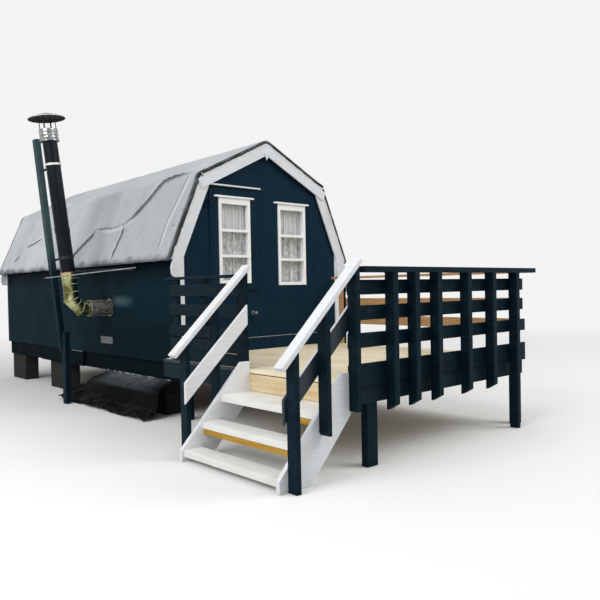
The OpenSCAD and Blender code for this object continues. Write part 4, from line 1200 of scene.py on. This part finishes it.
def elbowPoints():
    # centre line in x and z: wall, two mitres, foot of the upright
    out, z, bend = flue["out"], flue["z"], flue["bend"]
    cut = bend * tan(pi / 8)
    return [Vector((0.05, z)), Vector((-out + bend - cut, z)), Vector((-out, z + bend - cut)),
            Vector((-out, z + bend + 0.01))]


def buildElbowBody(points):
    # a circle drawn along the centre line, mitred, and given its wall
    deselectAll()
    count = flue["sides"]
    bpy.ops.mesh.primitive_circle_add(
        vertices=count, radius=flue["radius"], fill_type="NOTHING",
        location=at(points[0].x, flue["y"], points[0].y), rotation=(0, pi / 2, 0))
    piece = bpy.context.object
    piece.name = "elbow_body"
    bpy.ops.object.transform_apply(location=True, rotation=True, scale=True)
    bpy.ops.object.mode_set(mode="EDIT")
    bpy.ops.mesh.select_all(action="SELECT")
    for low, high in zip(points, points[1:]):
        step = high - low
        bpy.ops.mesh.extrude_region_move(TRANSFORM_OT_translate={"value": (step.x, 0, step.y)})
    bpy.ops.object.mode_set(mode="OBJECT")
    # each ring is set on its mitre plane
    mitre = 1 / cos(pi / 8)
    for k, (angle, stretch) in enumerate(((0, 1), (pi / 8, mitre), (3 * pi / 8, mitre), (pi / 2, 1))):
        middle = at(points[k].x, flue["y"], points[k].y)
        for vertex in piece.data.vertices[k * count:(k + 1) * count]:
            side = vertex.co.y - middle.y
            up = (vertex.co.z - middle.z) * stretch
            vertex.co = middle + Vector((up * sin(angle), side, up * cos(angle)))
    bpy.ops.object.mode_set(mode="EDIT")
    bpy.ops.mesh.select_all(action="SELECT")
    bpy.ops.mesh.normals_make_consistent(inside=False)
    bpy.ops.object.mode_set(mode="OBJECT")
    wall = piece.modifiers.new("wall", "SOLIDIFY")
    wall.thickness = flue["elbowWall"]
    wall.offset = -1
    applyAll(piece)
    bpy.ops.object.shade_smooth_by_angle(angle=radians(20))
    return piece


def buildElbow():
    r, y, z = flue["radius"], flue["y"], flue["z"]
    points = elbowPoints()
    body = buildElbowBody(points)
    # raised seams at the mitres and between them, and a hoop on the stub
    beads = []
    for k, angle in ((1, pi / 8), (2, 3 * pi / 8)):
        spot = at(points[k].x, y, points[k].y)
        beads.append(ringAt("seam%d" % k, r * 1.03, spot, Vector((cos(angle), 0, -sin(angle))), 0.007, 0.012))
    middle = (points[1] + points[2]) / 2
    beads.append(ringAt("seamMid", r, at(middle.x, y, middle.y), Vector((1, 0, -1)), 0.005, 0.010))
    beads.append(ringAt("hoop", r + 0.012, at(flue["hoopX"], y, z), Vector((1, 0, 0)), 0.008, 0.016))
    # flexible ribs on the stub, and its plate on the wall
    plate = [(r + 0.001, 0.0), (r + 0.026, 0.0), (r + 0.026, 0.003), (r + 0.016, 0.007), (r + 0.001, 0.007),
             (r + 0.001, 0.0)]
    sleeve = tubeProfile(r + 0.002, r + 0.010, flue["sleeve"])
    stub = [turned("sleeve", sleeve, at(-0.02, y, z), (-1, 0, 0)),
            turned("plate", plate, at(0, y, z), (-1, 0, 0))]
    for k in range(flue["ribs"]):
        stub.append(ringAt("rib%d" % k, r + 0.010, at(-0.036 - flue["ribPitch"] * k, y, z), Vector((1, 0, 0)),
                           0.006, 0.012))
    settle(joinPieces("stub_sleeve", stub), surface["ribs"], (), "hut")
    # upright neck up to the black pipe, with a flange ring
    top = flue["neck"]
    neck = [(r - 0.008, -0.004), (r, -0.004), (r, 0.02), (r + 0.001, 0.022), (r + 0.001, top),
            (r - 0.008, top), (r - 0.008, -0.004)]
    steel = [body, turned("neck", neck, flueBase, flueUp)]
    for height, bead, wide in ((0.012, 0.008, 0.010), (0.110, 0.004, 0.008), (0.180, 0.036, 0.004),
                               (0.215, 0.005, 0.008)):
        beads.append(ringAt("neckRing", r, flueBase + flueUp * height, flueUp, bead, wide))
    settle(joinPieces("bright_seams", beads), surface["seamTintAndHighlight"], (), "hut")
    settle(joinPieces("stainless_elbow", steel), surface["stainless"], ("flue_elbow",))


def buildPipe():
    r = flue["radius"]
    start = flueBase + flueUp * flue["neck"]
    end = flue["pipe"]
    profile = [(r - 0.010, 0), (r - 0.002, 0), (r, 0.002), (r, 0.50), (r + 0.004, 0.505),
               (r + 0.004, 0.565), (r, 0.57), (r, end), (r - 0.010, end), (r - 0.010, 0)]
    pipe = turned("black_flue_pipe", profile, start, flueUp, 64)
    settle(pipe, surface["enamel"], ("flue_pipe",))
    band = turned("heated_band", tubeProfile(r + 0.001, r + 0.006, 0.014),
                  start - flueUp * flue["bandDown"], flueUp)
    settle(band, surface["browned"], (), "hut")
    strap = [(r + 0.001, 0), (r + 0.007, 0.0), (r + 0.008, 0.004), (r + 0.008, 0.020), (r + 0.007, 0.024),
             (r + 0.001, 0.024), (r + 0.001, 0)]
    clamp = turned("upper_clamp", strap, flueBase + flueUp * flue["clampUp"], flueUp)
    settle(clamp, surface["seam"], (), "hut")


def buildStayRod():
    # a thin pale rod from the wall past the front of the pipe, with a flattened eye at its free end
    wallEnd, freeEnd = at(*flue["stayWall"]), at(*flue["stayFree"])
    along = (freeEnd - wallEnd).normalized()
    length = (freeEnd - wallEnd).length
    rod = turned("stay_rod", barProfile(flue["stayRadius"], length), wallEnd, along, 12)
    eye = turned("stay_eye", tubeProfile(0.007, 0.020, 0.003, -0.003), freeEnd + along * 0.014, (0, 0, 1), 20)
    settle(joinPieces("stay_rod", [rod, eye]), surface["stay"], (), "hut")


def buildCowl():
    r = flue["radius"]
    top = flueBase + flueUp * (flue["neck"] + flue["pipe"])
    profile = [(r - 0.006, 0.0), (r + 0.020, 0.0), (r + 0.029, 0.004), (r + 0.029, 0.018), (r + 0.021, 0.022)]
    for k in range(3):
        z = 0.030 + 0.040 * k
        profile += [(r + 0.021, z), (r + 0.027, z + 0.010), (r + 0.027, z + 0.020), (r + 0.021, z + 0.030)]
    profile += [(r + 0.021, 0.152), (r + 0.024, 0.155), (r + 0.018, 0.155), (r - 0.006, 0.148),
                (r - 0.006, 0.0)]
    collar = turned("ribbed_collar", profile, top, flueUp, 64)
    strips = []
    turn = Vector((0, 0, 1)).rotation_difference(flueUp)
    for k in range(flue["legs"]):
        deselectAll()
        bpy.ops.mesh.primitive_cube_add(size=1)
        strip = bpy.context.object
        strip.scale = flue["leg"]
        bpy.ops.object.transform_apply(location=False, rotation=False, scale=True)
        spin = Matrix.Rotation(radians(45 + 360 / flue["legs"] * k), 4, "Z")
        seat = Matrix.Translation((r + 0.014, 0, flue["legUp"]))
        strip.data.transform(Matrix.Translation(top) @ turn.to_matrix().to_4x4() @ spin @ seat)
        strips.append(strip)
    settle(joinPieces("cowl_legs", strips), surface["bracket"], (), "hut")
    settle(collar, surface["collar"], ("flue_cowl",))
    cap = flue["capRadius"]
    dome = [(0.0, 0.300), (cap - 0.03, 0.292), (cap - 0.006, 0.286), (cap, 0.287), (cap, 0.292),
            (cap - 0.014, 0.303), (cap * 0.75, 0.318), (cap * 0.5, 0.335), (cap * 0.25, 0.352),
            (0.03, 0.360), (0.0, 0.361)]
    settle(turned("rain_cap", dome, top, flueUp, 64), surface["cap"], (), "hut")
    rim = ringAt("rolled_rim", cap - 0.001, top + flueUp * flue["rimUp"], flueUp, 0.003, 0.007)
    settle(rim, surface["seam"], (), "hut")


buildElbow()
buildPipe()
buildStayRod()
buildCowl()

print("stage: door furniture")

doorIron = {
    "knobIn": 0.080, "knobUp": 0.298,  # from the leaf's free edge and foot
    "knob": [(0.0, 0.0), (0.027, 0.0), (0.027, 0.003), (0.023, 0.007), (0.011, 0.008), (0.010, 0.034),
             (0.014, 0.040), (0.022, 0.046), (0.025, 0.055), (0.023, 0.066), (0.015, 0.076), (0.0, 0.080)],
    # left, right, foot, head and thickness of the hasp's strap and of the pull's plate
    "plates": [(-0.150, -0.008, 0.556, 0.588, 0.006), (-0.092, -0.064, 0.940, 1.090, 0.005)],
    "pullIn": 0.078, "pullOut": 0.038, "pullUp": 0.957, "pullLength": 0.116, "pullRadius": 0.006,
    "posts": (0.963, 1.067), "postLength": 0.036,
    "stapleIn": 0.030, "stapleUp": 0.572, "stapleRadius": 0.005, "stapleLength": 0.020,
}


def buildFurniture():
    leafLow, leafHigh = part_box("door_leaf")
    foot = Vector((leafHigh.x, leafLow.y, leafLow.z))  # lower outer corner at the leaf's free edge

    def onLeaf(sideways, outward, upward):
        return foot + Vector((sideways, outward, upward))

    knob = turned("door_knob", doorIron["knob"], onLeaf(-doorIron["knobIn"], 0, doorIron["knobUp"]),
                  (0, -1, 0), 32)
    settle(knob, surface["latch"], ("door_furniture",), "door")
    parts = []
    for k, (left, right, low, high, thick) in enumerate(doorIron["plates"]):
        parts.append(addBoard("plate%d" % k, onLeaf(left, -thick, low) - corner,
                              onLeaf(right, 0, high) - corner, 0.0015))
    # pull handle of round bar on two posts, and the hasp's staple
    bar = doorIron["pullRadius"]
    parts.append(turned("grip", barProfile(bar, doorIron["pullLength"]),
                        onLeaf(-doorIron["pullIn"], -doorIron["pullOut"], doorIron["pullUp"]), (0, 0, 1), 16))
    for up in doorIron["posts"]:
        parts.append(turned("post", barProfile(bar, doorIron["postLength"]),
                            onLeaf(-doorIron["pullIn"], -0.002, up), (0, -1, 0), 16))
    parts.append(turned("staple", barProfile(doorIron["stapleRadius"], doorIron["stapleLength"]),
                        onLeaf(-doorIron["stapleIn"], -0.004, doorIron["stapleUp"]), (0, -1, 0), 16))
    # hasp and pull are brushed over with the door's navy
    settle(joinPieces("hasp_and_pull", parts), surface["rail"], (), "door")


buildFurniture()

print("stage: trims")

threshold = {"behind": 0.002, "deep": 0.022, "below": 0.004, "above": 0.003, "ease": 0.002}


def buildTrims():
    # pale metal strip on top of the board under the door, standing in for the highlight along that board's
    # top edge
    low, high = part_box("plinth_board")
    strip = addBoard("threshold_strip",
                     Vector((low.x, low.y - threshold["behind"], high.z - threshold["below"])) - corner,
                     Vector((high.x, low.y + threshold["deep"], high.z + threshold["above"])) - corner,
                     threshold["ease"])
    settle(strip, surface["stay"], (), "hut")


buildTrims()
